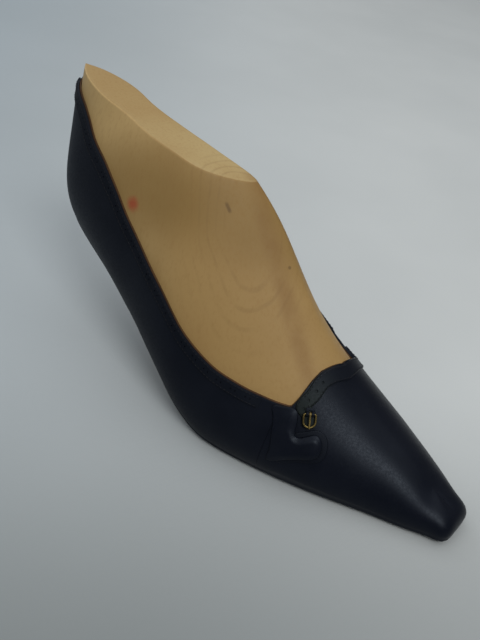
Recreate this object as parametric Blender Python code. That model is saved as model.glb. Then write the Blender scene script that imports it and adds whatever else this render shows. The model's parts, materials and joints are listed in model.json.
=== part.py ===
"""A shoemaker's last with a pointed court-shoe upper lasted on it.

Metres, +Z up. The toe points along +X and the outer side of this right shoe faces -Y. The
forepart stands flat on Z = 0 with the heel seat raised, as a foot stands in a high heel, and
the origin is under the middle of the bounding box.

The shapes are worked out in millimetres, measured from the back of the heel along the tread
line, and turned into metres where each mesh is made.
"""

import math
from collections import namedtuple

import bpy
import numpy as np
from mathutils import Matrix, Vector

MM = 0.001

# The shape of the wooden block, in millimetres and degrees, before its cone is sawn flat.
# along: share of the way round the feather edge, from the back of the heel to the toe
# outer, inner: the feather edge in plan on the two sides
# crest: the ridge line over the top
# rise: how far each wall climbs before it turns over, outer and inner
# reach: how broad the crest is on each side
# lean: how far each wall leans out from the feather edge
# fan: how far a section swings back (+) or forward (-) at the crest
Station = namedtuple("Station", "along outer inner crest rise reach lean fan")
STATIONS = [
    Station(0.000, (7, 0), (7, 0), (30, -3, 158), (38, 38), (32.5, 32.5), (13.5, 13.5), 90),
    Station(0.045, (10.2, -8.8), (10.2, 8.8), (43, -3.5, 151.5), (38, 38), (19.5, 17), (21, 20), 62),
    Station(0.100, (21.3, -17.1), (21.3, 16.1), (50.3, -4, 143), (37.4, 37.4), (8.5, 7.5), (27.5, 20.4), 36),
    Station(0.190, (48.9, -25.6), (47, 20.8), (66, -5.1, 139.9), (37.8, 45.8), (4.7, 3), (30.7, 12), 14),
    Station(0.310, (83, -32.1), (80, 19.4), (82, -2.7, 139.8), (40.7, 49.2), (4, 3.2), (30.7, 9.2), 4),
    Station(0.420, (113.6, -39.3), (110, 20.5), (100, 1.5, 130.1), (42.2, 47), (7.9, 5.3), (30.7, 10.3), 0),
    Station(0.515, (139.2, -42.8), (141, 26.4), (130, 7.8, 101.4), (33, 37.3), (10.5, 7.6), (31.1, 12.1), 0),
    Station(0.590, (159.8, -40.5), (168, 31.8), (155, 5.4, 73.8), (24.5, 27.4), (12.4, 6.9), (29.4, 12.4), 0),
    Station(0.690, (189.1, -33.8), (196, 30.9), (186, 4.3, 45.3), (17, 21.2), (15.7, 10.9), (24.8, 13.8), -4),
    Station(0.820, (224.5, -21.9), (226, 23.7), (218, 2.3, 26.4), (9.7, 15.2), (14.2, 11.7), (18.5, 14.8), -12),
    Station(0.920, (247.9, -13.3), (249, 14.6), (240, 0.5, 15.5), (5.7, 8.2), (12, 10.7), (15, 13.1), -30),
    Station(0.960, (258.5, -10), (258.8, 10.5), (246, 0, 12.1), (5.4, 6), (9.9, 9.9), (11.9, 11.2), -52),
    Station(0.982, (262.1, -7.7), (262.9, 8), (248.5, 0, 11.1), (5.7, 4.7), (8.8, 9.2), (7.7, 8.2), -74),
    Station(1.000, (262.8, 0), (262.8, 0), (249.5, 0, 10.6), (6.7, 6.7), (8.8, 8.8), (6.4, 6.4), -90),
]

# Height of the feather edge above the tread line, by distance from the heel
UNDERSIDE_PROFILE = [
    (0, 63.5), (9, 61.8), (30, 58.3), (50, 52.0), (75, 36.8), (100, 19.7), (125, 5.3),
    (143, 0.4), (160, 0), (220, 0), (240, 0), (263, 1.0),
]
ARCH_RISE = 4.0          # the inner edge of the waist is this much higher
ARCH_MIDDLE = 95.0
ARCH_HALF_LENGTH = 50.0
ARCH_HALF_WIDTH = 20.0
SEAT_CROWN = 1.5         # the heel seat is domed downwards by this much
SEAT_LENGTH = 60.0
FAN_HEEL = 0.13          # rows of the underside gather on one point behind here
FAN_TOE = 0.93           # and in front of here

# The sawn top of the cone slopes forward: distance from the heel, and height
CONE_TOP_BACK = (10.0, 136.5)
CONE_TOP_FRONT = (112.0, 117.3)

# The edge of the upper: share of the way round, and share of the way up the wall
OUTER_TOPLINE = [
    (0.000, 0.500), (0.033, 0.501), (0.073, 0.498), (0.145, 0.469), (0.200, 0.424), (0.258, 0.382),
    (0.330, 0.362), (0.400, 0.355), (0.465, 0.341), (0.515, 0.351), (0.565, 0.383), (0.610, 0.433),
    (0.640, 0.480), (0.650, 0.506), (0.6545, 0.583), (0.6595, 0.745), (0.6665, 0.835), (0.679, 1.0),
]
INNER_TOPLINE = [
    (0.000, 0.500), (0.033, 0.501), (0.073, 0.498), (0.145, 0.474), (0.200, 0.432), (0.258, 0.404),
    (0.330, 0.390), (0.400, 0.392), (0.465, 0.412), (0.515, 0.446), (0.565, 0.500), (0.600, 0.515),
    (0.630, 0.519), (0.650, 0.535), (0.6595, 0.600), (0.6665, 0.670), (0.6740, 0.775), (0.679, 1.0),
]
THROAT = 0.679           # where the edge crosses the crest

# Where the mesh has columns, as shares of the way round
COLLAR_END = 0.606
COLUMNS = [
    0.0, 0.018, 0.045, 0.072, 0.10, 0.14, 0.19, 0.24, 0.30, 0.34, 0.38, 0.42, 0.455, 0.54, 0.575,
    COLLAR_END, 0.650, 0.6545, 0.6595, 0.6665, 0.6766, THROAT, 0.70, 0.735, 0.77, 0.81, 0.85,
    0.885, 0.915, 0.94, 0.96, 0.973, 0.985, 1.0,
]
SEAM_GAP = 0.0006        # half the width of a butt seam, as a share of the way round
BACK_SEAM = 0.0
SIDE_SEAM = 0.636
LINING_SEAM = 0.500

# Where the mesh has rows: shares of the wall below the collar, then of the bare wood above the
# upper's edge. A share above 1 means the edge itself.
WALL_ROWS = (0.2, 0.4, 0.6, 0.8, 1.0)
FLANK_ROWS = (0.0, 0.3, 0.6, 0.82, 1.0)
AT_EDGE = 2.0
JUST_BELOW = 0.05        # the wall's slope at the edge is taken this share below it
TO_MIDDLE = math.inf     # an inset that reaches the middle of the underside

# Where the stiffeners end, and where they begin to thin out
COUNTER_END = 0.300
COUNTER_THINS = 0.14
COUNTER_ROWS = (0.0, 0.2, 0.4, 0.6, 0.8)
COUNTER_THINS_UPWARD = 0.25
PUFF_START = 0.850
PUFF_FULL = 0.93

# Depths outside the wood
GAP = 0.3
INSOLE_THICKNESS = 2.0
LINING_THICKNESS = 0.6
STIFFENER_THICKNESS = 0.6
STIFFENER_EDGE = 0.15
LEATHER_THICKNESS = 0.9
COLLAR_THICKNESS = 0.4
STRAP_THICKNESS = 0.6
UNDERLAY_THICKNESS = 0.5
INSOLE_TOP = GAP
INSOLE_BOTTOM = INSOLE_TOP + INSOLE_THICKNESS
LINING_IN = GAP
LINING_OUT = LINING_IN + LINING_THICKNESS
STIFFENER_IN = LINING_OUT + GAP
LEATHER_IN = LINING_OUT + GAP
LEATHER_OUT = LEATHER_IN + LEATHER_THICKNESS
TRIM_IN = LEATHER_OUT + GAP

# How the upper turns under the feather edge and lies on the insole
EDGE_DROP = 1.15         # the insole's side is upright this far down, then bevelled
MARGIN_MIDDLE = 6.0
MARGIN_WIDTH = 12.0
MARGIN_SHARE = 0.75      # a margin never covers more than this share of the half width
COLLAR_WIDTH = 6.0
LINING_SHOWS = 0.6       # the lining stands this far above the edge of the leather

# Steel plate let into the heel seat
PLATE_INSET = 4.0
PLATE_END = 0.165
PLATE_THICKNESS = 1.6
PLATE_COLUMNS = 15
PLATE_ROW_STEP = 5.0
PLATE_SCREW_PLACES = ((0.0, 11.0), (0.145, TO_MIDDLE))   # share round, and inset
SCREW_HEAD_RADIUS = 3.0
SCREW_RADIUS = 1.5
SCREW_LENGTH = 13.0
SCREW_POINT = 3.0
CUT_PAST = 2.0           # cutters reach this far past the faces that they open

# Tacks round the seat
TACK_PLACES = (-0.150, -0.108, -0.068, -0.032, 0.0, 0.032, 0.068, 0.108, 0.150)
TACK_INSET = 7.5
TACK_RADIUS = 0.6
TACK_HEAD_RADIUS = 1.6
TACK_HEAD_THICKNESS = 0.5
TACK_TIP = 0.7           # the points stop in the insole, this far below the wood
TACK_POINT = 1.0
TACK_HOLE_TOP = 0.2

# Shank spring under the waist and its rivets
SHANK_START = 46.0
SHANK_END = 148.0
SHANK_MIDDLE_Y = -5.5
SHANK_WIDTH = 11.0
SHANK_THICKNESS = 1.0
SHANK_CLEARANCE = 0.5
SHANK_STATIONS = 15
SHANK_TOP = INSOLE_BOTTOM + SHANK_CLEARANCE
SHANK_BOTTOM = SHANK_TOP + SHANK_THICKNESS
RIVET_X = (54.0, 137.0)
RIVET_RADIUS = 1.2
RIVET_HEAD_RADIUS = 2.5
RIVET_HEAD_THICKNESS = 0.7
RIVET_RECESS = 0.4       # the heads lie this deep in the insole's top

# Strap round the throat. Its tail comes out from under the tab, as (share round, share up the
# wall, half the strap's width); then it follows the edge of the upper over the crest and back
# along the inner side, as (share round, half width).
STRAP_TAIL = [(-0.6845, 0.482, 2.7), (-0.6822, 0.515, 2.9), (-0.6775, 0.543, 3.3)]
STRAP_ALONG_EDGE = [
    (-0.6525, 3.3), (-0.6550, 3.5), (-0.6590, 3.7), (-0.6640, 3.8), (-0.6710, 3.9), (0.6790, 3.8),
    (0.6760, 3.5), (0.6680, 3.2), (0.6550, 3.0), (0.6400, 2.9), (0.6300, 2.8),
]
STRAP_EDGE_MARGIN = 0.5  # the strap lies this far inside the edge of the upper
STRAP_STATIONS = 30
STRAP_ROWS = 4
STRAP_HOLE_COUNT = 4
STRAP_HOLE_FIRST = 9.6  # from the end of the tail, along the middle
STRAP_HOLE_STEP = 5.2
STRAP_HOLE_RADIUS = 0.6
STRAP_OUT = TRIM_IN + STRAP_THICKNESS

# Padded side tab: outlines in the wall's own plane, toe-wards and up, from TAB_PLACE
TAB_PLACE = (-0.668, 0.34)
TAB_MIDDLE = (-1.0, -1.0)
TAB_OUTLINE = [
    (-11.6, 14.6), (-10.3, 10.0), (-8.9, 3.5), (-7.8, -2.5), (-7.5, -8.0), (-7.4, -12.0),
    (-1.5, -10.0), (4.6, -7.4), (9.6, -6.0), (13.6, -4.7), (15.8, -2.4), (16.2, 0.8), (15.4, 4.0),
    (13.5, 6.1), (11.2, 6.6), (8.9, 5.6), (6.4, 4.3), (4.0, 3.4), (2.5, 4.0), (1.8, 6.4),
    (1.6, 9.6), (1.0, 13.0), (-0.6, 15.6), (-3.0, 16.2), (-7.0, 15.6),
]
UNDERLAY_OUTLINE = [
    (-2.0, -11.6), (4.6, -9.2), (10.0, -7.6), (15.0, -6.2), (18.2, -3.6), (18.9, 0.8), (17.9, 5.2),
    (15.0, 8.3), (11.6, 8.9), (8.2, 7.6), (6.2, 6.6), (4.2, 5.8), (1.0, 4.0), (-3.0, 0.0),
    (-3.6, -6.0),
]
UNDERLAY_MIDDLE = (7.0, -1.0)
TAB_IN = TRIM_IN + UNDERLAY_THICKNESS + GAP
TAB_THIN = 0.7           # along the seam and the bottom
TAB_THICK = 1.9          # along the rolled edge
TAB_ROLL_START = -7.0    # the pad thickens toe-wards from here
TAB_ROLL_END = 3.0
TAB_RINGS = (1.0, 0.955, 0.88, 0.72, 0.42)
TAB_RING_HEIGHTS = (0.45, 0.85, 1.0, 0.9, 0.8)

# Buckle, in its own frame: the bar lies along Y, +X points to the rim, +Z away from the strap
BUCKLE_PLACE = (-0.6775, 0.550)
BUCKLE_RIM_PLACE = (-0.6842, 0.496)
BAR_HEIGHT = 1.45
FRAME_RADIUS = 0.5
FRAME_HALF_WIDTH = 2.9
FRAME_CORNER = 0.8
FRAME_STRAIGHT = 3.6
FRAME_LENGTH = 6.3
FRAME_DROP = 0.45        # the rim lies this much nearer to the strap than the bar
PRONG_THICKNESS = 0.4
PRONG_HALF_WIDTH = 0.45
PRONG_LENGTH = 6.9
PRONG_TIP_SHARE = 0.6    # the tip is this share of the prong's width
PRONG_HOOK_RADIUS = FRAME_RADIUS + GAP + PRONG_THICKNESS / 2
PRONG_HOOK_DEGREES = (310, 90)
KEEPER_THICKNESS = 0.5
KEEPER_HALF_WIDTH = 2.0
KEEPER_ARC_RADIUS = FRAME_RADIUS + GAP + KEEPER_THICKNESS / 2
KEEPER_ARC_DEGREES = (165, 0)
KEEPER_TAIL = [(-2.9, 0.0), (-2.4, 0.0), (-1.6, 0.35)]   # from the bar, and above the foot
KEEPER_SLOT_HALF_WIDTH = PRONG_HALF_WIDTH + 0.35
KEEPER_SLOT_ENDS = (-1.75, 2.0)
KEEPER_SLOT_DEPTH = 5.0

WOOD_COLOUR = (0.26, 0.17, 0.075, 1.0)
NAVY_COLOUR = (0.011, 0.013, 0.020, 1.0)
TRIM_COLOUR = (0.015, 0.018, 0.024, 1.0)
TAN_COLOUR = (0.20, 0.105, 0.05, 1.0)
BOARD_COLOUR = (0.32, 0.22, 0.13, 1.0)
STEEL_COLOUR = (0.42, 0.43, 0.44, 1.0)
GILT_COLOUR = (0.62, 0.47, 0.18, 1.0)
SHARP_ANGLE = math.radians(40)


def unit(vectors):
    """Each vector at length one."""
    return vectors / np.linalg.norm(vectors, axis=-1, keepdims=True)


def smooth_step(low, high, value):
    """0 below low, 1 above high, and an S between them."""
    share = np.clip((np.asarray(value, float) - low) / (high - low), 0, 1)
    return share * share * (3 - 2 * share)


class Curve:
    """Cubic pieces through points, joined with one slope and one curvature."""

    def __init__(self, at, values, closed=False):
        self.at = np.array(at, float)
        self.values = np.array(values, float)
        self.slopes = self.joined_slopes(closed)

    def joined_slopes(self, closed):
        step = np.diff(self.at)
        rise = np.diff(self.values) / step
        count = len(self.at)
        matrix = np.zeros((count, count))
        right = np.zeros(count)
        for i in range(1, count - 1):
            matrix[i, i - 1] = 1 / step[i - 1]
            matrix[i, i] = 2 / step[i - 1] + 2 / step[i]
            matrix[i, i + 1] = 1 / step[i]
            right[i] = 3 * (rise[i - 1] / step[i - 1] + rise[i] / step[i])
        if closed:
            matrix[0, 0] = 2 / step[-1] + 2 / step[0]
            matrix[0, 1] = 1 / step[0]
            matrix[0, -2] = 1 / step[-1]
            right[0] = 3 * (rise[-1] / step[-1] + rise[0] / step[0])
            matrix[-1, 0] = 1
            matrix[-1, -1] = -1
        else:
            matrix[0, :2] = (2, 1)
            matrix[-1, -2:] = (1, 2)
            right[0] = 3 * rise[0]
            right[-1] = 3 * rise[-1]
        return np.linalg.solve(matrix, right)

    def piece(self, where):
        where = np.asarray(where, float)
        i = np.clip(np.searchsorted(self.at, where, side="right") - 1, 0, len(self.at) - 2)
        step = self.at[i + 1] - self.at[i]
        return i, (where - self.at[i]) / step, step

    def __call__(self, where):
        i, u, step = self.piece(where)
        start = self.values[i] * (1 + 2 * u) * (1 - u) ** 2 + self.slopes[i] * step * u * (1 - u) ** 2
        end = self.values[i + 1] * u * u * (3 - 2 * u) + self.slopes[i + 1] * step * u * u * (u - 1)
        return start + end

    def slope(self, where):
        i, u, step = self.piece(where)
        rise = 6 * u * (1 - u) * (self.values[i + 1] - self.values[i]) / step
        return rise + self.slopes[i] * (1 - u) * (1 - 3 * u) + self.slopes[i + 1] * u * (3 * u - 2)


class Fair(Curve):
    """Cubic pieces that never overshoot their points."""

    def joined_slopes(self, closed):
        step = np.diff(self.at)
        rise = np.diff(self.values) / step
        slopes = np.zeros(len(self.at))
        slopes[0] = rise[0]
        slopes[-1] = rise[-1]
        for i in range(1, len(self.at) - 1):
            if rise[i - 1] * rise[i] > 0:
                before = 2 * step[i] + step[i - 1]
                after = step[i] + 2 * step[i - 1]
                slopes[i] = (before + after) / (before / rise[i - 1] + after / rise[i])
        return slopes


def around(outer_values, inner_values):
    """A closed curve over s: the outer side from -1 to 0, the inner side from 0 to 1."""
    along = np.array([station.along for station in STATIONS])
    at = np.concatenate([-along[::-1], along[1:]])
    values = np.concatenate([outer_values[::-1], inner_values[1:]])
    return Curve(at, values, closed=True)


class Block:
    """The wooden block's surface: s goes round it (-1 to 1, outer side negative), t goes up."""

    def __init__(self):
        self.plan = [
            around([row.outer[axis] for row in STATIONS], [row.inner[axis] for row in STATIONS])
            for axis in (0, 1)
        ]
        self.rise = around([row.rise[0] for row in STATIONS], [row.rise[1] for row in STATIONS])
        self.reach = around([row.reach[0] for row in STATIONS], [row.reach[1] for row in STATIONS])
        self.lean = around([row.lean[0] for row in STATIONS], [row.lean[1] for row in STATIONS])
        along = [row.along for row in STATIONS]
        self.crest = [Curve(along, [row.crest[axis] for row in STATIONS]) for axis in (0, 1, 2)]
        self.fan = Curve(along, [row.fan for row in STATIONS])
        self.profile = Fair(*zip(*UNDERSIDE_PROFILE))

    def sole_height(self, x, y):
        window = np.clip(1 - ((x - ARCH_MIDDLE) / ARCH_HALF_LENGTH) ** 2, 0, 1) ** 2
        return self.profile(x) + ARCH_RISE * np.clip(y / ARCH_HALF_WIDTH, 0, 1) * window

    def feather(self, s):
        """The edge between the wall and the underside."""
        x = self.plan[0](s)
        y = self.plan[1](s)
        return np.stack([x, y, self.sole_height(x, y)], -1)

    def outward(self, s):
        """The level direction that faces out from the feather edge."""
        level = np.stack([-self.plan[1].slope(s), self.plan[0].slope(s), 0 * s], -1)
        return unit(level)

    def crest_direction(self, along):
        return unit(np.stack([self.crest[0].slope(along), 0 * along, self.crest[2].slope(along)], -1))

    def wall(self, s, t):
        """A point of the wall; past t = 1 it runs down the other side of the crest."""
        s, t = np.broadcast_arrays(np.asarray(s, float), np.asarray(t, float))
        s = np.where(t > 1, -s, s)
        t = np.where(t > 1, 2 - t, t)
        s = (s + 1) % 2 - 1
        along = np.abs(s)
        foot = self.feather(s)
        top = np.stack([curve(along) for curve in self.crest], -1)
        lean = np.radians(self.lean(s))
        up = self.outward(s) * np.sin(lean)[..., None]
        up[..., 2] += np.cos(lean)
        fan = np.radians(self.fan(along))
        over = -self.crest_direction(along) * np.sin(fan)[..., None]
        over[..., 1] += np.where(s < 0, -1.0, 1.0) * np.cos(fan)
        first = foot + self.rise(s)[..., None] * up
        second = top + self.reach(s)[..., None] * over
        t = t[..., None]
        low = (1 - t) ** 3 * foot + 3 * (1 - t) ** 2 * t * first
        return low + 3 * (1 - t) * t ** 2 * second + t ** 3 * top

    def normal(self, s, t):
        """The direction out of the wall."""
        s, t = np.broadcast_arrays(np.asarray(s, float), np.asarray(t, float))
        s = np.where(t > 1, -s, s)
        t = np.where(t > 1, 2 - t, t)
        step = 1e-4
        inside = np.clip(t, step, 1 - step)
        around_it = self.wall(s + step, inside) - self.wall(s - step, inside)
        up_it = self.wall(s, inside + step) - self.wall(s, inside - step)
        out = unit(np.cross(up_it, around_it))
        at_crest = np.cross(self.crest_direction(np.abs(s)), np.array([0.0, 1.0, 0.0]))
        return np.where((t >= 1)[..., None], at_crest, out)

    def skin(self, s, t, depth):
        """A point that stands off the wall by a depth."""
        return self.wall(s, t) + np.asarray(depth, float)[..., None] * self.normal(s, t)

    def moved(self, s, t, move):
        """The place (s, t) reached by a short move along the surface."""
        s, t = np.broadcast_arrays(np.asarray(s, float), np.asarray(t, float))
        s = s.copy()
        t = t.copy()
        steps = 6
        nudge = 1e-4
        for _ in range(steps):
            along = (self.wall(s + nudge, t) - self.wall(s - nudge, t)) / (2 * nudge)
            up = (self.wall(s, t + nudge) - self.wall(s, t - nudge)) / (2 * nudge)
            aa = (along * along).sum(-1)
            au = (along * up).sum(-1)
            uu = (up * up).sum(-1)
            am = (along * move).sum(-1) / steps
            um = (up * move).sum(-1) / steps
            spread = aa * uu - au * au
            s += (am * uu - um * au) / spread
            t += (um * aa - am * au) / spread
        return s, t

    def climb(self, s, t):
        """How many millimetres one unit of t climbs at (s, t)."""
        nudge = 1e-3
        low = np.clip(t, nudge, 1 - nudge)
        rise = self.wall(s, low + nudge) - self.wall(s, low - nudge)
        return np.linalg.norm(rise, axis=-1) / (2 * nudge)

    def middle(self, s):
        """The point in the middle of the underside that (s) faces."""
        along = np.clip(np.abs(s), FAN_HEEL, FAN_TOE)
        return (self.feather(along) + self.feather(-along)) / 2

    def underside(self, s, inset, depth):
        """A point under the block, inset from the feather edge and lowered by a depth."""
        edge = self.feather(s)
        middle = self.middle(s)
        width = np.linalg.norm((middle - edge)[..., :2], axis=-1)
        share = np.ones(len(width)) if inset == TO_MIDDLE else np.minimum(inset / width, MARGIN_SHARE)
        point = edge + (middle - edge) * share[..., None]
        behind = np.clip(point[..., 0] / SEAT_LENGTH, 0, 1)
        crown = SEAT_CROWN * (1 - (1 - share) ** 2) * (1 - behind ** 2) ** 2
        point[..., 2] = self.sole_height(point[..., 0], point[..., 1]) - crown - depth
        return point


BLOCK = Block()


def cone_top_height(x):
    """Height of the sawn top."""
    slope = (CONE_TOP_FRONT[1] - CONE_TOP_BACK[1]) / (CONE_TOP_FRONT[0] - CONE_TOP_BACK[0])
    return CONE_TOP_BACK[1] + slope * (x - CONE_TOP_BACK[0])


def above_cut(point):
    return point[..., 2] - cone_top_height(point[..., 0])


def halved(low, high, is_above, rounds=50):
    """The place between low and high where is_above turns true."""
    low = np.array(low, float)
    high = np.array(high, float)
    for _ in range(rounds):
        middle = (low + high) / 2
        above = is_above(middle)
        low = np.where(above, low, middle)
        high = np.where(above, middle, high)
    return (low + high) / 2


def cone_tip():
    """Where the crest rises out of the sawn top, as a share of the way round."""
    return float(halved(0.40, 0.55, lambda along: above_cut(BLOCK.wall(along, 1.0)) < 0))


def cut_share(s):
    """How far up each wall the saw cut is."""
    found = halved(0.4 + 0 * s, 1.0 + 0 * s, lambda t: above_cut(BLOCK.wall(s, t)) > 0)
    return np.where(np.abs(s) >= cone_tip() - 1e-9, 1.0, found)


def all_columns():
    """The shares of the way round at which every layer has a column of points."""
    seams = [seam + side for seam in (SIDE_SEAM, LINING_SEAM) for side in (-SEAM_GAP, SEAM_GAP)]
    return np.array(sorted(COLUMNS + seams + [SEAM_GAP, cone_tip()]))


def columns_between(start, end):
    """Columns from s = start to s = end; past s = 1 they carry on at -1."""
    one_side = all_columns()
    every = np.concatenate([-one_side[:0:-1], one_side, 2 - one_side[-2:0:-1]])
    kept = every[(every >= start - 1e-9) & (every <= end + 1e-9)]
    return np.where(kept > 1, kept - 2, kept)


OUTER_EDGE = Fair(*zip(*OUTER_TOPLINE))
INNER_EDGE = Fair(*zip(*INNER_TOPLINE))


def topline(s):
    """How far up the wall the leather reaches."""
    along = np.abs(s)
    edge = np.where(s < 0, OUTER_EDGE(np.minimum(along, THROAT)), INNER_EDGE(np.minimum(along, THROAT)))
    return np.where(along >= THROAT - 1e-9, 1.0, edge)


def below_topline(s, distance):
    """The share up the wall that is a distance below the edge."""
    edge = topline(s)
    return edge - distance / BLOCK.climb(s, edge - JUST_BELOW)


def mitre(first, second):
    """How the corner between two faces moves as both move out by one."""
    return (first + second) / (1 + first @ second)


def edge_corner(s, corner, depth):
    """The points where a layer turns round the insole's side: 0 at the wall, 1, then 2."""
    right = np.array([1.0, 0.0])
    bevel = np.array([1.0, -1.0]) / math.sqrt(2)
    down = np.array([0.0, -1.0])
    lean = np.radians(BLOCK.lean(s))
    wall_out = np.stack([np.cos(lean), -np.sin(lean)], -1)
    if corner == 0:
        place = np.zeros(2)
        spread = (wall_out + right) / (1 + wall_out @ right)[..., None]
    elif corner == 1:
        place = np.array([0.0, -EDGE_DROP])
        spread = np.tile(mitre(right, bevel), (len(s), 1))
    else:
        place = np.array([-(INSOLE_BOTTOM - EDGE_DROP), -INSOLE_BOTTOM])
        spread = np.tile(mitre(bevel, down), (len(s), 1))
    flat = place + np.asarray(depth, float)[..., None] * spread
    point = BLOCK.feather(s) + BLOCK.outward(s) * flat[..., :1]
    point[..., 2] += flat[..., 1]
    return point


def upper_rows(s, lift, depth, top):
    """A layer of the upper: margin, turn, wall, and the edge at the given share of the wall."""
    low = below_topline(s, COLLAR_WIDTH)
    level = np.full(len(s), depth)
    rows = [BLOCK.underside(s, inset, INSOLE_BOTTOM + depth) for inset in (MARGIN_WIDTH, MARGIN_MIDDLE)]
    rows.append(edge_corner(s, 2, level))
    rows.append(edge_corner(s, 1, level + lift(s, 0.0)))
    rows.append(edge_corner(s, 0, level + lift(s, 0.0)))
    for share in WALL_ROWS:
        rows.append(BLOCK.skin(s, low * share, level + lift(s, share)))
    rows.append(BLOCK.skin(s, top, level + lift(s, AT_EDGE)))
    return np.array(rows)


def stiffener_thickness(s, share):
    """Thickness of the counter and the toe puff, skived thin at their edges; 0 elsewhere."""
    along = np.abs(s)
    counter = 1 - smooth_step(COUNTER_THINS, COUNTER_END, along)
    up_counter = 1 - smooth_step(COUNTER_THINS_UPWARD, COUNTER_ROWS[-1], share)
    puff = smooth_step(PUFF_START, PUFF_FULL, along)
    body = STIFFENER_THICKNESS - STIFFENER_EDGE
    in_counter = (along <= COUNTER_END + 1e-9) & (share <= COUNTER_ROWS[-1] + 1e-9)
    in_puff = along >= PUFF_START - 1e-9
    thickness = np.where(in_counter, STIFFENER_EDGE + body * counter * up_counter, 0.0)
    return np.where(in_puff, STIFFENER_EDGE + body * puff, thickness)


def over_stiffener(s, share):
    """How far the outer leather is lifted where a stiffener lies under it."""
    thickness = stiffener_thickness(s, share)
    return np.where(thickness > 0, thickness + GAP, 0.0)


def no_lift(s, share):
    return np.zeros(len(s))


class Shape:
    """Points and triangles of one closed body, with points that coincide made one."""

    def __init__(self):
        self.points = []
        self.index = {}
        self.triangles = []

    def corner(self, point):
        key = tuple(np.round(point, 4) + 0.0)
        if key not in self.index:
            self.index[key] = len(self.points)
            self.points.append(key)
        return self.index[key]

    def triangle(self, a, b, c):
        if len({a, b, c}) == 3:
            self.triangles.append((a, b, c))

    def grid(self, rows, reverse=False):
        """Add a grid of points and the two triangles of each of its cells."""
        names = [[self.corner(point) for point in row] for row in rows]
        for low, high in zip(names, names[1:]):
            for k in range(len(low) - 1):
                a, b, c, d = low[k], low[k + 1], high[k + 1], high[k]
                if reverse:
                    a, b, c, d = b, a, d, c
                    self.triangle(a, b, d)
                    self.triangle(b, c, d)
                else:
                    self.triangle(a, b, c)
                    self.triangle(a, c, d)
        return names

    def open_edges(self):
        """Directed edges that only one triangle has."""
        edges = set()
        for a, b, c in self.triangles:
            edges.update(((a, b), (b, c), (c, a)))
        return [edge for edge in edges if (edge[1], edge[0]) not in edges]

    def volume(self):
        points = np.array(self.points)
        a, b, c = (points[[triangle[k] for triangle in self.triangles]] for k in range(3))
        return float((a * np.cross(b, c)).sum()) / 6

    def mesh_object(self, name, material, parent):
        triangles = self.triangles
        if self.volume() < 0:
            triangles = [(a, c, b) for a, b, c in triangles]
        mesh = bpy.data.meshes.new(name)
        mesh.from_pydata([tuple(MM * value for value in point) for point in self.points], [], triangles)
        mesh.update()
        return add_object(name, mesh, material, parent)


def skin_piece(name, rows, material, parent):
    """A closed body from one grid whose edges meet each other."""
    shape = Shape()
    shape.grid(rows)
    return shape.mesh_object(name, material, parent)


def sheet_piece(name, outside, inside, material, parent):
    """A sheet of leather or metal: two like grids joined all round their edges."""
    shape = Shape()
    outer_names = shape.grid(outside)
    rim = sorted(shape.open_edges())
    inner_names = shape.grid(inside, reverse=True)
    across = {}
    for outer_row, inner_row in zip(outer_names, inner_names):
        across.update(zip(outer_row, inner_row))
    for a, b in rim:
        shape.triangle(b, a, across[a])
        shape.triangle(b, across[a], across[b])
    return shape.mesh_object(name, material, parent)


def clear_scene():
    for old in list(bpy.data.objects):
        bpy.data.objects.remove(old, do_unlink=True)


def make_material(name, colour, roughness, metallic=0.0):
    material = bpy.data.materials.new(name)
    material.use_nodes = True
    shader = material.node_tree.nodes["Principled BSDF"]
    shader.inputs["Base Color"].default_value = colour
    shader.inputs["Roughness"].default_value = roughness
    shader.inputs["Metallic"].default_value = metallic
    return material


def add_object(name, mesh, material, parent):
    piece = bpy.data.objects.new(name, mesh)
    bpy.context.scene.collection.objects.link(piece)
    piece.parent = parent
    if material is not None:
        mesh.materials.append(material)
    mesh.shade_smooth()
    mesh.set_sharp_from_angle(angle=SHARP_ANGLE)
    return piece


def add_empty(name, parent, matrix=None):
    empty = bpy.data.objects.new(name, None)
    bpy.context.scene.collection.objects.link(empty)
    empty.parent = parent
    if matrix is not None:
        empty.matrix_local = matrix
    return empty


def make_cutter(piece):
    piece.hide_render = True
    piece.display_type = "WIRE"
    return piece


def cut(piece, cutter):
    """Take the cutter's shape out of the piece."""
    boolean = piece.modifiers.new("cut", "BOOLEAN")
    boolean.operation = "DIFFERENCE"
    boolean.object = cutter


def turned_piece(name, profile, sides, material, parent, matrix=None):
    """A turned body: (radius, height) points from one end of its axis to the other."""
    shape = Shape()
    angles = np.linspace(0, 2 * math.pi, sides + 1)
    rows = [
        [(radius * math.cos(angle), radius * math.sin(angle), height) for angle in angles]
        for radius, height in profile
    ]
    shape.grid(np.array(rows))
    piece = shape.mesh_object(name, material, parent)
    if matrix is not None:
        piece.matrix_local = matrix
    return piece


def axes_at(point, out, heading):
    """A placing whose Z is the way out of a surface and whose X is nearest to heading."""
    out = Vector(out).normalized()
    side = out.cross(Vector(heading)).normalized()
    forward = side.cross(out)
    matrix = Matrix((forward, side, out)).transposed().to_4x4()
    matrix.translation = Vector(point) * MM
    return matrix


def make_last_body(material, parent):
    """The wood: underside, walls and the flat sawn top, as one closed skin."""
    s = columns_between(-1, 1)
    low = below_topline(s, COLLAR_WIDTH)
    edge = topline(s)
    cut_at = cut_share(s)
    rows = [BLOCK.underside(s, inset, 0.0) for inset in (TO_MIDDLE, MARGIN_WIDTH, MARGIN_MIDDLE)]
    rows.append(BLOCK.feather(s))
    rows += [BLOCK.wall(s, low * share) for share in WALL_ROWS]
    rows += [BLOCK.wall(s, edge + (cut_at - edge) * share) for share in FLANK_ROWS]
    rim = rows[-1].copy()
    tip = cone_tip()
    other = BLOCK.wall(-s, cut_share(-s))
    flat = np.where((np.abs(s) < tip - 1e-9)[:, None], (rim + other) / 2, rim)
    rows.append(flat)
    return skin_piece("last_body", np.array(rows), material, parent)


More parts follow.
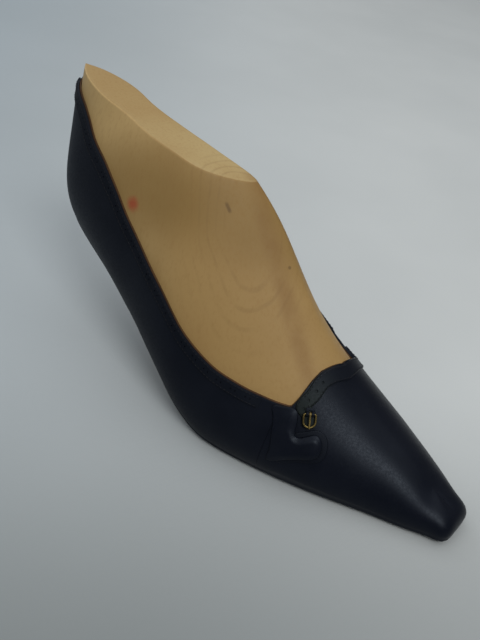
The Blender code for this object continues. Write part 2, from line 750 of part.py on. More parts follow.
def make_insole(material, parent):
    """The board under the last, bevelled below like the layers that turn over it."""
    s = columns_between(-1, 1)
    none = np.zeros(len(s))
    edge = BLOCK.feather(s)
    edge[:, 2] -= INSOLE_TOP
    insets = (TO_MIDDLE, MARGIN_WIDTH, MARGIN_MIDDLE)
    rows = [BLOCK.underside(s, inset, INSOLE_TOP) for inset in insets]
    rows.append(edge)
    rows.append(edge_corner(s, 1, none))
    rows.append(edge_corner(s, 2, none))
    rows += [BLOCK.underside(s, inset, INSOLE_BOTTOM) for inset in reversed(insets)]
    return skin_piece("insole", np.array(rows), material, parent)


def make_upper_layer(name, start, end, depths, lift, top, material, parent):
    """One piece of the upper between two seams."""
    s = columns_between(start, end)
    inside = upper_rows(s, lift, depths[0], top(s))
    outside = upper_rows(s, lift, depths[1], top(s))
    return sheet_piece(name, outside, inside, material, parent)


def lining_top(s):
    """The lining stands a little above the leather, and meets itself on the crest."""
    edge = topline(s)
    return np.minimum(edge + LINING_SHOWS / BLOCK.climb(s, edge - JUST_BELOW), 1.0)


def make_linings(material, parent):
    """The two linings; gives back the one that the seat tacks go through."""
    quarter = make_upper_layer(
        "quarter_lining", -LINING_SEAM + SEAM_GAP, LINING_SEAM - SEAM_GAP,
        (LINING_IN, LINING_OUT), no_lift, lining_top, material, parent)
    make_upper_layer(
        "vamp_lining", LINING_SEAM + SEAM_GAP, 2 - LINING_SEAM - SEAM_GAP,
        (LINING_IN, LINING_OUT), no_lift, lining_top, material, parent)
    return quarter


def make_outer_leather(material, parent):
    """The vamp and the quarters; gives back the quarters, for the seat tacks."""
    depths = (LEATHER_IN, LEATHER_OUT)
    make_upper_layer(
        "vamp", SIDE_SEAM + SEAM_GAP, 2 - SIDE_SEAM - SEAM_GAP,
        depths, over_stiffener, topline, material, parent)
    lateral = make_upper_layer(
        "quarter_lateral", -SIDE_SEAM + SEAM_GAP, BACK_SEAM - SEAM_GAP,
        depths, over_stiffener, topline, material, parent)
    medial = make_upper_layer(
        "quarter_medial", BACK_SEAM + SEAM_GAP, SIDE_SEAM - SEAM_GAP,
        depths, over_stiffener, topline, material, parent)
    return lateral, medial


def make_stiffener(name, s, shares, material, parent):
    """A heel counter or a toe puff, held between lining and leather on the wall only."""
    low = below_topline(s, COLLAR_WIDTH)
    inside = []
    outside = []
    for share in shares:
        inner = np.full(len(s), STIFFENER_IN)
        outer = inner + stiffener_thickness(s, share)
        if share == 0:
            inside.append(edge_corner(s, 0, inner))
            outside.append(edge_corner(s, 0, outer))
        else:
            up = topline(s) if share == AT_EDGE else low * share
            inside.append(BLOCK.skin(s, up, inner))
            outside.append(BLOCK.skin(s, up, outer))
    return sheet_piece(name, np.array(outside), np.array(inside), material, parent)


def make_stiffeners(material, parent):
    counter_columns = columns_between(-COUNTER_END, COUNTER_END)
    make_stiffener("heel_counter", counter_columns, COUNTER_ROWS, material, parent)
    puff_columns = columns_between(PUFF_START, 2 - PUFF_START)
    make_stiffener("toe_puff", puff_columns, (0.0, *WALL_ROWS, AT_EDGE), material, parent)


def make_collar(name, start, end, material, parent):
    """The band along the edge of a quarter."""
    s = columns_between(start, end)
    tops = (below_topline(s, COLLAR_WIDTH), below_topline(s, COLLAR_WIDTH / 2), topline(s))
    inside = [BLOCK.skin(s, t, np.full(len(s), TRIM_IN)) for t in tops]
    outside = [BLOCK.skin(s, t, np.full(len(s), TRIM_IN + COLLAR_THICKNESS)) for t in tops]
    return sheet_piece(name, np.array(outside), np.array(inside), material, parent)


def strap_middle():
    """The middle of the strap by distance from its tail: s, t, half width, and the whole length."""
    s = np.array([row[0] for row in STRAP_ALONG_EDGE])
    half = np.array([row[1] for row in STRAP_ALONG_EDGE])
    t = topline(s)
    over = s > 0
    s = np.where(over, -s, s)
    t = np.where(over, 2 - t, t)
    edge = BLOCK.wall(s, t)
    heading = unit(np.gradient(edge, axis=0))
    inward = unit(np.cross(BLOCK.normal(s, t), heading))
    s, t = BLOCK.moved(s, t, -inward * (half + STRAP_EDGE_MARGIN)[:, None])
    tail = np.array(STRAP_TAIL)
    s = np.concatenate([tail[:, 0], s])
    t = np.concatenate([tail[:, 1], t])
    half = np.concatenate([tail[:, 2], half])
    steps = np.linalg.norm(np.diff(BLOCK.wall(s, t), axis=0), axis=-1)
    distance = np.concatenate([[0.0], np.cumsum(steps)])
    return Curve(distance, s), Curve(distance, t), Curve(distance, half), distance[-1]


def strap_grid(depth):
    """Points across and along the strap, on the surface at a depth."""
    s_at, t_at, half_at, length = strap_middle()
    distance = np.linspace(0, length, STRAP_STATIONS)
    s = s_at(distance)
    t = t_at(distance)
    heading = unit(np.gradient(BLOCK.wall(s, t), axis=0))
    side = unit(np.cross(BLOCK.normal(s, t), heading))
    rows = []
    for share in np.linspace(-1, 1, STRAP_ROWS + 1):
        place = BLOCK.moved(s, t, side * (half_at(distance) * share)[:, None])
        rows.append(BLOCK.skin(*place, np.full(len(s), depth)))
    return np.array(rows)


def make_strap(material, parent):
    """The strap, with its row of buckle holes."""
    strap = sheet_piece("throat_strap", strap_grid(STRAP_OUT), strap_grid(TRIM_IN), material, parent)
    s_at, t_at = strap_middle()[:2]
    for number in range(STRAP_HOLE_COUNT):
        distance = STRAP_HOLE_FIRST + number * STRAP_HOLE_STEP
        place = (s_at(distance), t_at(distance))
        matrix = axes_at(BLOCK.wall(*place), BLOCK.normal(*place), (0, 0, 1))
        profile = [
            (0, LEATHER_OUT), (STRAP_HOLE_RADIUS, LEATHER_OUT),
            (STRAP_HOLE_RADIUS, STRAP_OUT + CUT_PAST), (0, STRAP_OUT + CUT_PAST),
        ]
        hole = turned_piece(f"strap_hole_cutter_{number + 1}", profile, 8, None, parent, matrix)
        cut(strap, make_cutter(hole))


def tab_axes():
    """The middle of the tab on the wall, and its toe-ward and upward directions."""
    out = BLOCK.normal(*TAB_PLACE)
    forward = unit(np.cross(out, np.array([0.0, 0.0, 1.0])))
    if forward[0] < 0:
        forward = -forward
    up = np.cross(forward, out)
    if up[2] < 0:
        up = -up
    return forward, up


def on_tab_plane(across, up_it):
    """The place (s, t) on the wall at measured distances from the middle of the tab."""
    forward, up = tab_axes()
    move = np.asarray(across)[:, None] * forward + np.asarray(up_it)[:, None] * up
    s = np.full(len(move), TAB_PLACE[0])
    t = np.full(len(move), TAB_PLACE[1])
    start = BLOCK.wall(*TAB_PLACE)
    for _ in range(4):
        off = move - (BLOCK.wall(s, t) - start)
        s, t = BLOCK.moved(s, t, off)
    return s, t


def pad_height(across):
    """The pad is thin at its seam and thick along its rolled edge."""
    return TAB_THIN + (TAB_THICK - TAB_THIN) * smooth_step(TAB_ROLL_START, TAB_ROLL_END, across)


def ringed_pad(name, outline, middle, base, height_at, ring_heights, material, parent):
    """A pad on the wall: rings of its outline drawn in towards its middle."""
    outline = np.array(outline + outline[:1])
    middle = np.array(middle)
    outside = []
    inside = []
    for share, lift in zip(TAB_RINGS, ring_heights):
        ring = middle + (outline - middle) * share
        s, t = on_tab_plane(ring[:, 0], ring[:, 1])
        outside.append(BLOCK.skin(s, t, base + lift * height_at(ring[:, 0])))
        inside.append(BLOCK.skin(s, t, np.full(len(s), base)))
    s, t = on_tab_plane(middle[:1], middle[1:])
    top = BLOCK.skin(s, t, base + ring_heights[-1] * height_at(middle[:1]))
    foot = BLOCK.skin(s, t, np.array([base]))
    outside.append(np.repeat(top, len(outline), axis=0))
    inside.append(np.repeat(foot, len(outline), axis=0))
    return sheet_piece(name, np.array(outside), np.array(inside), material, parent)


def make_side_tab(material, parent):
    """The padded tab and the flat leather under its foot."""
    ringed_pad(
        "side_tab", TAB_OUTLINE, TAB_MIDDLE, TAB_IN, pad_height, TAB_RING_HEIGHTS, material, parent)
    even = (1.0,) * len(TAB_RINGS)
    ringed_pad(
        "tab_underlay", UNDERLAY_OUTLINE, UNDERLAY_MIDDLE, TRIM_IN,
        lambda across: np.full(len(across), UNDERLAY_THICKNESS), even, material, parent)


def tube_rows(path, radius, sides):
    """Rings round a closed path that lies nearly flat."""
    heading = unit(np.roll(path, -1, axis=0) - np.roll(path, 1, axis=0))
    side = unit(np.cross(heading, np.array([0.0, 0.0, 1.0])))
    up = np.cross(side, heading)
    angles = np.linspace(0, 2 * math.pi, sides + 1)
    rings = np.array([path + radius * (side * math.cos(a) + up * math.sin(a)) for a in angles])
    return np.concatenate([rings, rings[:, :1]], axis=1)


def frame_path():
    """The buckle's frame: a straight bar, two round corners and a round rim."""
    points = []
    for corner in (1, -1):
        centre = (FRAME_CORNER, corner * (FRAME_HALF_WIDTH - FRAME_CORNER))
        for turn in np.linspace(0, math.pi / 2, 4):
            angle = turn if corner > 0 else math.pi / 2 - turn
            x = centre[0] - FRAME_CORNER * math.cos(angle)
            y = centre[1] + corner * FRAME_CORNER * math.sin(angle)
            points.append((x, y))
        if corner > 0:
            rim = []
            for angle in np.linspace(math.pi / 2, -math.pi / 2, 9):
                x = FRAME_STRAIGHT + (FRAME_LENGTH - FRAME_STRAIGHT) * math.cos(angle)
                rim.append((x, FRAME_HALF_WIDTH * math.sin(angle)))
            points += rim
    return np.array([(x, y, -FRAME_DROP * x / FRAME_LENGTH) for x, y in points])


def make_buckle_frame(material, parent):
    return skin_piece("buckle_frame", tube_rows(frame_path(), FRAME_RADIUS, 8), material, parent)


def ribbon_rows(path, thickness, half_widths):
    """A strip bent along a path in the XZ plane, as a closed skin."""
    path = np.array(path)
    heading = unit(np.gradient(path, axis=0))
    out = np.stack([-heading[:, 1], heading[:, 0]], -1)
    half = np.asarray(half_widths)

    def edge(side, level):
        flat = path + out * level * thickness / 2
        return np.stack([flat[:, 0], side * half, flat[:, 1]], -1)

    loop = [edge(-1, 1), edge(1, 1), edge(1, -1), edge(-1, -1), edge(-1, 1)]
    rows = np.array(loop).transpose(1, 0, 2)
    start = np.repeat(rows[:1].mean(axis=1, keepdims=True), rows.shape[1], axis=1)
    end = np.repeat(rows[-1:].mean(axis=1, keepdims=True), rows.shape[1], axis=1)
    return np.concatenate([start, rows, end])


def make_prong(material, parent):
    """The prong hooks round the bar, runs to the rim and rests just above it."""
    hook = [
        (PRONG_HOOK_RADIUS * math.cos(angle), PRONG_HOOK_RADIUS * math.sin(angle))
        for angle in np.radians(np.linspace(*PRONG_HOOK_DEGREES, 12))
    ]
    rim_top = -FRAME_DROP + FRAME_RADIUS + GAP + PRONG_THICKNESS / 2
    reach = [
        (x, PRONG_HOOK_RADIUS + (rim_top - PRONG_HOOK_RADIUS) * (x / PRONG_LENGTH))
        for x in np.linspace(0, PRONG_LENGTH, 5)[1:]
    ]
    path = hook + reach
    taper = np.ones(len(path))
    taper[-1] = PRONG_TIP_SHARE
    rows = ribbon_rows(path, PRONG_THICKNESS, PRONG_HALF_WIDTH * taper)
    return skin_piece("buckle_prong", rows, material, parent)


def make_keeper(material, parent):
    """The leather loop that holds the bar down, with a slot for the prong."""
    foot = -BAR_HEIGHT + GAP + KEEPER_THICKNESS / 2
    arc = [
        (KEEPER_ARC_RADIUS * math.cos(angle), KEEPER_ARC_RADIUS * math.sin(angle))
        for angle in np.radians(np.linspace(*KEEPER_ARC_DEGREES, 8))
    ]
    tail = [(x, foot + rise) for x, rise in KEEPER_TAIL]
    path = tail + arc + [(KEEPER_ARC_RADIUS, foot)]
    rows = ribbon_rows(path, KEEPER_THICKNESS, np.full(len(path), KEEPER_HALF_WIDTH))
    keeper = skin_piece("buckle_keeper", rows, material, parent)
    slot = [(x, 0.0) for x in KEEPER_SLOT_ENDS]
    slot_rows = ribbon_rows(slot, KEEPER_SLOT_DEPTH, np.full(2, KEEPER_SLOT_HALF_WIDTH))
    cut(keeper, make_cutter(skin_piece("keeper_slot_cutter", slot_rows, None, parent)))


def make_buckle(gilt, leather, parent):
    centre = BLOCK.skin(*BUCKLE_PLACE, STRAP_OUT + BAR_HEIGHT)
    heading = BLOCK.wall(*BUCKLE_RIM_PLACE) - BLOCK.wall(*BUCKLE_PLACE)
    matrix = axes_at(centre, BLOCK.normal(*BUCKLE_PLACE), heading)
    place = add_empty("buckle_bar_axis", parent, matrix)
    make_buckle_frame(gilt, place)
    make_prong(gilt, place)
    make_keeper(leather, place)


def into_the_wood(x, y):
    """The way up from the underside at a place, square to its slope from heel to toe."""
    step = 1.0
    slope = (BLOCK.sole_height(x + step, y) - BLOCK.sole_height(x - step, y)) / (2 * step)
    return (-slope, 0.0, 1.0)


def plate_rows(inset, depth):
    """Rows of the heel plate's face at a depth, from its edge to its middle."""
    s = np.linspace(-PLATE_END, PLATE_END, PLATE_COLUMNS)
    insets = (inset, inset + PLATE_ROW_STEP, TO_MIDDLE)
    return np.array([BLOCK.underside(s, step, depth) for step in insets])


def make_heel_plate(steel, last_body, parent):
    plate = sheet_piece(
        "heel_plate", plate_rows(PLATE_INSET, 0.0), plate_rows(PLATE_INSET, -PLATE_THICKNESS),
        steel, parent)
    pocket = sheet_piece(
        "plate_pocket_cutter", plate_rows(PLATE_INSET - GAP, CUT_PAST),
        plate_rows(PLATE_INSET - GAP, -PLATE_THICKNESS - GAP), None, parent)
    cut(last_body, make_cutter(pocket))
    return plate


def screw_profile(clearance):
    """Countersunk head, shank and point, up from the seat's surface."""
    head = SCREW_HEAD_RADIUS + clearance
    shank = SCREW_RADIUS + clearance
    cone = SCREW_HEAD_RADIUS - SCREW_RADIUS
    return [
        (0, 0), (head, 0), (shank, cone), (shank, SCREW_LENGTH - SCREW_POINT + clearance),
        (0, SCREW_LENGTH + clearance),
    ]


def make_plate_screws(steel, last_body, plate, parent):
    names = ("plate_screw_back", "plate_screw_front")
    for name, (s, inset) in zip(names, PLATE_SCREW_PLACES):
        seat = BLOCK.underside(np.array([s]), inset, 0.0)[0]
        matrix = axes_at(seat, into_the_wood(seat[0], seat[1]), (1, 0, 0))
        turned_piece(name, screw_profile(0.0), 12, steel, parent, matrix)
        opening = [(0, -CUT_PAST), (SCREW_HEAD_RADIUS + GAP, -CUT_PAST)]
        hole = turned_piece(
            name + "_hole_cutter", opening + screw_profile(GAP)[1:], 12, None, parent, matrix)
        cut(plate, make_cutter(hole))
        cut(last_body, hole)


def make_seat_tacks(steel, pierced, parent):
    """Tacks through both margins into the insole."""
    head_top = INSOLE_BOTTOM + LEATHER_OUT + GAP
    head_bottom = head_top + TACK_HEAD_THICKNESS
    profile = [
        (0, -head_bottom), (TACK_HEAD_RADIUS, -head_bottom), (TACK_HEAD_RADIUS, -head_top),
        (TACK_RADIUS, -head_top), (TACK_RADIUS, -TACK_TIP - TACK_POINT), (0, -TACK_TIP),
    ]
    hole_radius = TACK_RADIUS + GAP
    hole_profile = [
        (0, -head_bottom), (hole_radius, -head_bottom), (hole_radius, TACK_HOLE_TOP),
        (0, TACK_HOLE_TOP),
    ]
    for number, s in enumerate(TACK_PLACES, start=1):
        point = BLOCK.underside(np.array([s]), TACK_INSET, 0.0)[0]
        matrix = axes_at(point, into_the_wood(point[0], point[1]), (1, 0, 0))
        turned_piece(f"seat_tack_{number}", profile, 8, steel, parent, matrix)
        hole = turned_piece(f"tack_{number}_hole_cutter", hole_profile, 8, None, parent, matrix)
        make_cutter(hole)
        for piece in pierced:
            if tack_goes_through(piece.name, s):
                cut(piece, hole)


def tack_goes_through(name, s):
    """Whether the tack at s goes through the named piece."""
    if name == "quarter_lateral":
        return s <= 0
    if name == "quarter_medial":
        return s >= 0
    return True


def shank_height(x):
    return BLOCK.sole_height(x, SHANK_MIDDLE_Y + 0 * x) - shank_crown(x)


def shank_crown(x):
    """The strip follows the domed seat where it starts."""
    behind = np.clip(x / SEAT_LENGTH, 0, 1)
    return SEAT_CROWN * (1 - behind ** 2) ** 2


def make_shank(steel, parent):
    x = np.linspace(SHANK_START, SHANK_END, SHANK_STATIONS)
    height = shank_height(x)
    up = unit(np.stack([-np.gradient(height, x), np.ones(len(x))], -1))
    outside = []
    inside = []
    for side in (-1, 0, 1):
        y = np.full(len(x), SHANK_MIDDLE_Y + side * SHANK_WIDTH / 2)
        for rows, depth in ((inside, SHANK_TOP), (outside, SHANK_BOTTOM)):
            rows.append(np.stack([x - up[:, 0] * depth, y, height - up[:, 1] * depth], -1))
    return sheet_piece("shank_spring", np.array(outside), np.array(inside), steel, parent)


def make_shank_rivets(steel, insole, shank, parent):
    """Rivets headed flush in the insole's top and again under the spring."""
    top = -(INSOLE_TOP + RIVET_RECESS)
    bottom = -(SHANK_BOTTOM + GAP)
    for name, x in zip(("shank_rivet_back", "shank_rivet_front"), RIVET_X):
        profile = [
            (0, bottom - RIVET_HEAD_THICKNESS), (RIVET_HEAD_RADIUS, bottom - RIVET_HEAD_THICKNESS),
            (RIVET_HEAD_RADIUS, bottom), (RIVET_RADIUS, bottom),
            (RIVET_RADIUS, top - RIVET_HEAD_THICKNESS), (RIVET_HEAD_RADIUS, top - RIVET_HEAD_THICKNESS),
            (RIVET_HEAD_RADIUS, top), (0, top),
        ]
        hole = [
            (0, bottom - CUT_PAST), (RIVET_RADIUS + GAP, bottom - CUT_PAST),
            (RIVET_RADIUS + GAP, top - RIVET_HEAD_THICKNESS - GAP),
            (RIVET_HEAD_RADIUS + GAP, top - RIVET_HEAD_THICKNESS - GAP),
            (RIVET_HEAD_RADIUS + GAP, top + CUT_PAST), (0, top + CUT_PAST),
        ]
        point = (x, SHANK_MIDDLE_Y, float(shank_height(np.array([x]))[0]))
        matrix = axes_at(point, into_the_wood(x, SHANK_MIDDLE_Y), (1, 0, 0))
        turned_piece(name, profile, 12, steel, parent, matrix)
        cutter = make_cutter(turned_piece(name + "_hole_cutter", hole, 12, None, parent, matrix))
        cut(insole, cutter)
        cut(shank, cutter)


def stand_on_origin(root):
    """Move everything so that the origin is under the middle of the bounding box."""
    bpy.context.view_layer.update()
    graph = bpy.context.evaluated_depsgraph_get()
    corners = []
    for piece in bpy.context.scene.objects:
        if piece.type == "MESH" and not piece.hide_render:
            shown = piece.evaluated_get(graph)
            corners += [shown.matrix_world @ Vector(corner) for corner in shown.bound_box]
    corners = np.array(corners)
    low = corners.min(axis=0)
    high = corners.max(axis=0)
    root.location = (-(low[0] + high[0]) / 2, -(low[1] + high[1]) / 2, -low[2])


def main():
    clear_scene()
    wood = make_material("wood", WOOD_COLOUR, 0.55)
    navy = make_material("navy_leather", NAVY_COLOUR, 0.5)
    trim = make_material("trim_leather", TRIM_COLOUR, 0.45)
    tan = make_material("lining_leather", TAN_COLOUR, 0.7)
    board = make_material("board", BOARD_COLOUR, 0.8)
    steel = make_material("steel", STEEL_COLOUR, 0.35, 1.0)
    gilt = make_material("gilt", GILT_COLOUR, 0.25, 1.0)

    root = add_empty("last_frame", None)
    last_body = make_last_body(wood, root)
    insole = make_insole(board, root)
    quarter_lining = make_linings(tan, root)
    quarter_lateral, quarter_medial = make_outer_leather(navy, root)
    make_stiffeners(board, root)
    make_collar("collar_lateral", -COLLAR_END, -SEAM_GAP, trim, root)
    make_collar("collar_medial", SEAM_GAP, COLLAR_END, trim, root)
    make_strap(trim, root)
    make_side_tab(navy, root)
    make_buckle(gilt, trim, root)
    plate = make_heel_plate(steel, last_body, root)
    make_plate_screws(steel, last_body, plate, root)
    shank = make_shank(steel, root)
    make_shank_rivets(steel, insole, shank, root)
    make_seat_tacks(steel, (quarter_lateral, quarter_medial, quarter_lining, insole), root)
    stand_on_origin(root)


if __name__ == "__main__":
    main()
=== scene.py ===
"""Looks for the shoemaker's last: fine surfaces, materials, floor, light and camera round the frame.

The shapes repeat the frame's own surface, worked out in millimetres from the back of the heel
along the tread line, with many more points, so that each piece lies where its node does.
"""

import json
import math
from collections import namedtuple

import bmesh
import bpy
import numpy as np
from mathutils import Matrix, Vector

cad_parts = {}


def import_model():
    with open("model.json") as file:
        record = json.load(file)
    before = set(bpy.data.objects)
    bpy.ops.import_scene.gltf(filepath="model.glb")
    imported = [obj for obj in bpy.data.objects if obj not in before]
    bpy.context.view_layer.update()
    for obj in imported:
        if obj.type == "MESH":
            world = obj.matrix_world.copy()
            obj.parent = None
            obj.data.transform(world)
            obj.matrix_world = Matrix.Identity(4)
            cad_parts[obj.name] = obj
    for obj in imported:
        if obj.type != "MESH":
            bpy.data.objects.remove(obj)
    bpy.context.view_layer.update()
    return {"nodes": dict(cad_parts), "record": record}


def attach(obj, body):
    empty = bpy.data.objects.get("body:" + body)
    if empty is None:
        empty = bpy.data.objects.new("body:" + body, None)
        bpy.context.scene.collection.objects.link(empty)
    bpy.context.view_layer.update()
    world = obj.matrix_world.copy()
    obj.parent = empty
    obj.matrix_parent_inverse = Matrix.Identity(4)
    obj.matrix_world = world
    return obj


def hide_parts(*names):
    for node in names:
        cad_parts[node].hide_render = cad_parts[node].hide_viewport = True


MM = 0.001
FRAME_SHIFT = np.array([-132.969, 6.486, 4.4])   # from the back of the heel to the frame's origin

# The wooden block: share of the way round, feather edge in plan on the outer and inner side,
# crest line, and each wall's rise, reach, lean and fan
Station = namedtuple("Station", "along outer inner crest rise reach lean fan")
STATIONS = [
    Station(0.000, (7, 0), (7, 0), (30, -3, 158), (38, 38), (32.5, 32.5), (13.5, 13.5), 90),
    Station(0.045, (10.2, -8.8), (10.2, 8.8), (43, -3.5, 151.5), (38, 38), (19.5, 17), (21, 20), 62),
    Station(0.100, (21.3, -17.1), (21.3, 16.1), (50.3, -4, 143), (37.4, 37.4), (8.5, 7.5), (27.5, 20.4), 36),
    Station(0.190, (48.9, -25.6), (47, 20.8), (66, -5.1, 139.9), (37.8, 45.8), (4.7, 3), (30.7, 12), 14),
    Station(0.310, (83, -32.1), (80, 19.4), (82, -2.7, 139.8), (40.7, 49.2), (4, 3.2), (30.7, 9.2), 4),
    Station(0.420, (113.6, -39.3), (110, 20.5), (100, 1.5, 130.1), (42.2, 47), (7.9, 5.3), (30.7, 10.3), 0),
    Station(0.515, (139.2, -42.8), (141, 26.4), (130, 7.8, 101.4), (33, 37.3), (10.5, 7.6), (31.1, 12.1), 0),
    Station(0.590, (159.8, -40.5), (168, 31.8), (155, 5.4, 73.8), (24.5, 27.4), (12.4, 6.9), (29.4, 12.4), 0),
    Station(0.690, (189.1, -33.8), (196, 30.9), (186, 4.3, 45.3), (17, 21.2), (15.7, 10.9), (24.8, 13.8), -4),
    Station(0.820, (224.5, -21.9), (226, 23.7), (218, 2.3, 26.4), (9.7, 15.2), (14.2, 11.7), (18.5, 14.8), -12),
    Station(0.920, (247.9, -13.3), (249, 14.6), (240, 0.5, 15.5), (5.7, 8.2), (12, 10.7), (15, 13.1), -30),
    Station(0.960, (258.5, -10), (258.8, 10.5), (246, 0, 12.1), (5.4, 6), (9.9, 9.9), (11.9, 11.2), -52),
    Station(0.982, (262.1, -7.7), (262.9, 8), (248.5, 0, 11.1), (5.7, 4.7), (8.8, 9.2), (7.7, 8.2), -74),
    Station(1.000, (262.8, 0), (262.8, 0), (249.5, 0, 10.6), (6.7, 6.7), (8.8, 8.8), (6.4, 6.4), -90),
]
UNDERSIDE_PROFILE = [
    (0, 63.5), (9, 61.8), (30, 58.3), (50, 52.0), (75, 36.8), (100, 19.7), (125, 5.3),
    (143, 0.4), (160, 0), (220, 0), (240, 0), (263, 1.0),
]
ARCH_RISE = 4.0
ARCH_MIDDLE = 95.0
ARCH_HALF_LENGTH = 50.0
ARCH_HALF_WIDTH = 20.0
SEAT_CROWN = 1.5
SEAT_LENGTH = 60.0
FAN_HEEL = 0.13
FAN_TOE = 0.93
CONE_TOP_BACK = (10.0, 136.5)
CONE_TOP_FRONT = (112.0, 117.3)
OUTER_TOPLINE = [
    (0.000, 0.500), (0.033, 0.501), (0.073, 0.498), (0.145, 0.469), (0.200, 0.424), (0.258, 0.382),
    (0.330, 0.362), (0.400, 0.355), (0.465, 0.341), (0.515, 0.351), (0.565, 0.383), (0.610, 0.433),
    (0.640, 0.480), (0.650, 0.506), (0.6545, 0.583), (0.6595, 0.745), (0.6665, 0.835), (0.679, 1.0),
]
INNER_TOPLINE = [
    (0.000, 0.500), (0.033, 0.501), (0.073, 0.498), (0.145, 0.474), (0.200, 0.432), (0.258, 0.404),
    (0.330, 0.390), (0.400, 0.392), (0.465, 0.412), (0.515, 0.446), (0.565, 0.500), (0.600, 0.515),
    (0.630, 0.519), (0.650, 0.535), (0.6595, 0.600), (0.6665, 0.670), (0.6740, 0.775), (0.679, 1.0),
]
THROAT = 0.679
SIDE_SEAM = 0.636
LINING_SEAM = 0.500
SEAM_GAP = 0.00005         # half the gap of a seam, as a share of the way round
COUNTER_END = 0.300
PUFF_START = 0.850

# Depths outside the wood, in millimetres
INSOLE_BOTTOM = 2.3
LINING_IN = 0.3
LINING_OUT = 0.9
LEATHER_IN = 1.2
LEATHER_OUT = 2.1
STIFFENER = 0.6
EDGE_DROP = 1.15
MARGIN_SHARE = 0.75
COLLAR_WIDTH = 6.0
COLLAR_OUT = 2.7
STRAP_OUT = 3.0
UNDERLAY_OUT = 2.8
TAB_BASE = 2.8

# Strap, tab and buckle, as in the frame
STRAP_TAIL = [(-0.6845, 0.482, 2.7), (-0.6822, 0.515, 2.9), (-0.6775, 0.543, 3.3)]
STRAP_ALONG_EDGE = [
    (-0.6525, 3.3), (-0.6550, 3.5), (-0.6590, 3.7), (-0.6640, 3.8), (-0.6710, 3.9), (0.6790, 3.8),
    (0.6760, 3.5), (0.6680, 3.2), (0.6550, 3.0), (0.6400, 2.9), (0.6300, 2.8),
]
STRAP_EDGE_MARGIN = 0.5
STRAP_HOLE_COUNT = 4
STRAP_HOLE_FIRST = 9.6
STRAP_HOLE_STEP = 5.2
STRAP_HOLE_RADIUS = 0.8
TAB_PLACE = (-0.668, 0.34)
TAB_MIDDLE = (-1.0, -1.0)
TAB_OUTLINE = [
    (-11.6, 14.6), (-10.3, 10.0), (-8.9, 3.5), (-7.8, -2.5), (-7.5, -8.0), (-7.4, -12.0),
    (-1.5, -10.0), (4.6, -7.4), (9.6, -6.0), (13.6, -4.7), (15.8, -2.4), (16.2, 0.8), (15.4, 4.0),
    (13.5, 6.1), (11.2, 6.6), (8.9, 5.6), (6.4, 4.3), (4.0, 3.4), (2.5, 4.0), (1.8, 6.4),
    (1.6, 9.6), (1.0, 13.0), (-0.6, 15.6), (-3.0, 16.2), (-7.0, 15.6),
]
UNDERLAY_OUTLINE = [
    (-2.0, -11.6), (4.6, -9.2), (10.0, -7.6), (15.0, -6.2), (18.2, -3.6), (18.9, 0.8), (17.9, 5.2),
    (15.0, 8.3), (11.6, 8.9), (8.2, 7.6), (6.2, 6.6), (4.2, 5.8), (1.0, 4.0), (-3.0, 0.0),
    (-3.6, -6.0),
]
UNDERLAY_MIDDLE = (7.0, -1.0)
BUCKLE_PLACE = (-0.6775, 0.550)
BUCKLE_RIM_PLACE = (-0.6842, 0.496)
BAR_HEIGHT = 1.45
WIRE_RADIUS = 0.5
FRAME_HALF_WIDTH = 2.9
FRAME_CORNER = 0.8
FRAME_STRAIGHT = 3.6
FRAME_LENGTH = 6.3
FRAME_DROP = 0.45
CLEARANCE = 0.3
PRONG_THICKNESS = 0.4
PRONG_HALF_WIDTH = 0.45
PRONG_LENGTH = 6.9
PRONG_HOOK_RADIUS = WIRE_RADIUS + CLEARANCE + PRONG_THICKNESS / 2
PRONG_HOOK_DEGREES = (310, 90)
KEEPER_THICKNESS = 0.5
KEEPER_HALF_WIDTH = 2.0
KEEPER_ARC_RADIUS = WIRE_RADIUS + CLEARANCE + KEEPER_THICKNESS / 2
KEEPER_ARC_DEGREES = (165, 0)
KEEPER_TAIL = [(-2.9, 0.0), (-2.4, 0.0), (-1.6, 0.35)]
KEEPER_SLOT = [(-1.75, 2.0), (-0.8, 0.8), (-2.5, 2.5)]

# How finely the surfaces are laid out, in millimetres unless they are shares
TINY = 1e-9
WELD = 1e-7                # metres
SHARP_DEGREES = 40
WALL_MIDDLE = 0.35         # share up the wall at which lengths along it are measured
COLUMN_STEP = 1.3
COLUMN_CLEAR = 0.0012      # share of the way round kept free beside an exact column
TIP_SPREAD = 0.05
BESIDE_EDGE = (0.0, 0.0002, 0.0006, 0.0013, 0.0026)
COLLAR_END = 0.606
EDGE_ROUND = 0.45
SEAM_ROUND = 0.05
UNDER_EDGE = 0.03          # share below the leather's edge at which its climb is taken
UNDER_LINING_EDGE = 0.05
WOOD_ROWS = 70
WOOD_INSETS = (1e6, 16.0, 12.0, 8.0, 4.0)
ARRIS = 0.9
MARGIN_INSETS = (12.0, 11.85, 11.6, 11.2, 10.0, 8.6, 7.2, 5.8)
TURN_INSET = 3.4
TURN_ROWS = 20
FIRST_WALL_SHARE = 0.07
WALL_ROW_COUNT = 44
TOP_ROWS = (2.6, 1.8, 1.1, 0.6, 0.32, 0.14, 0.05, 0.0)

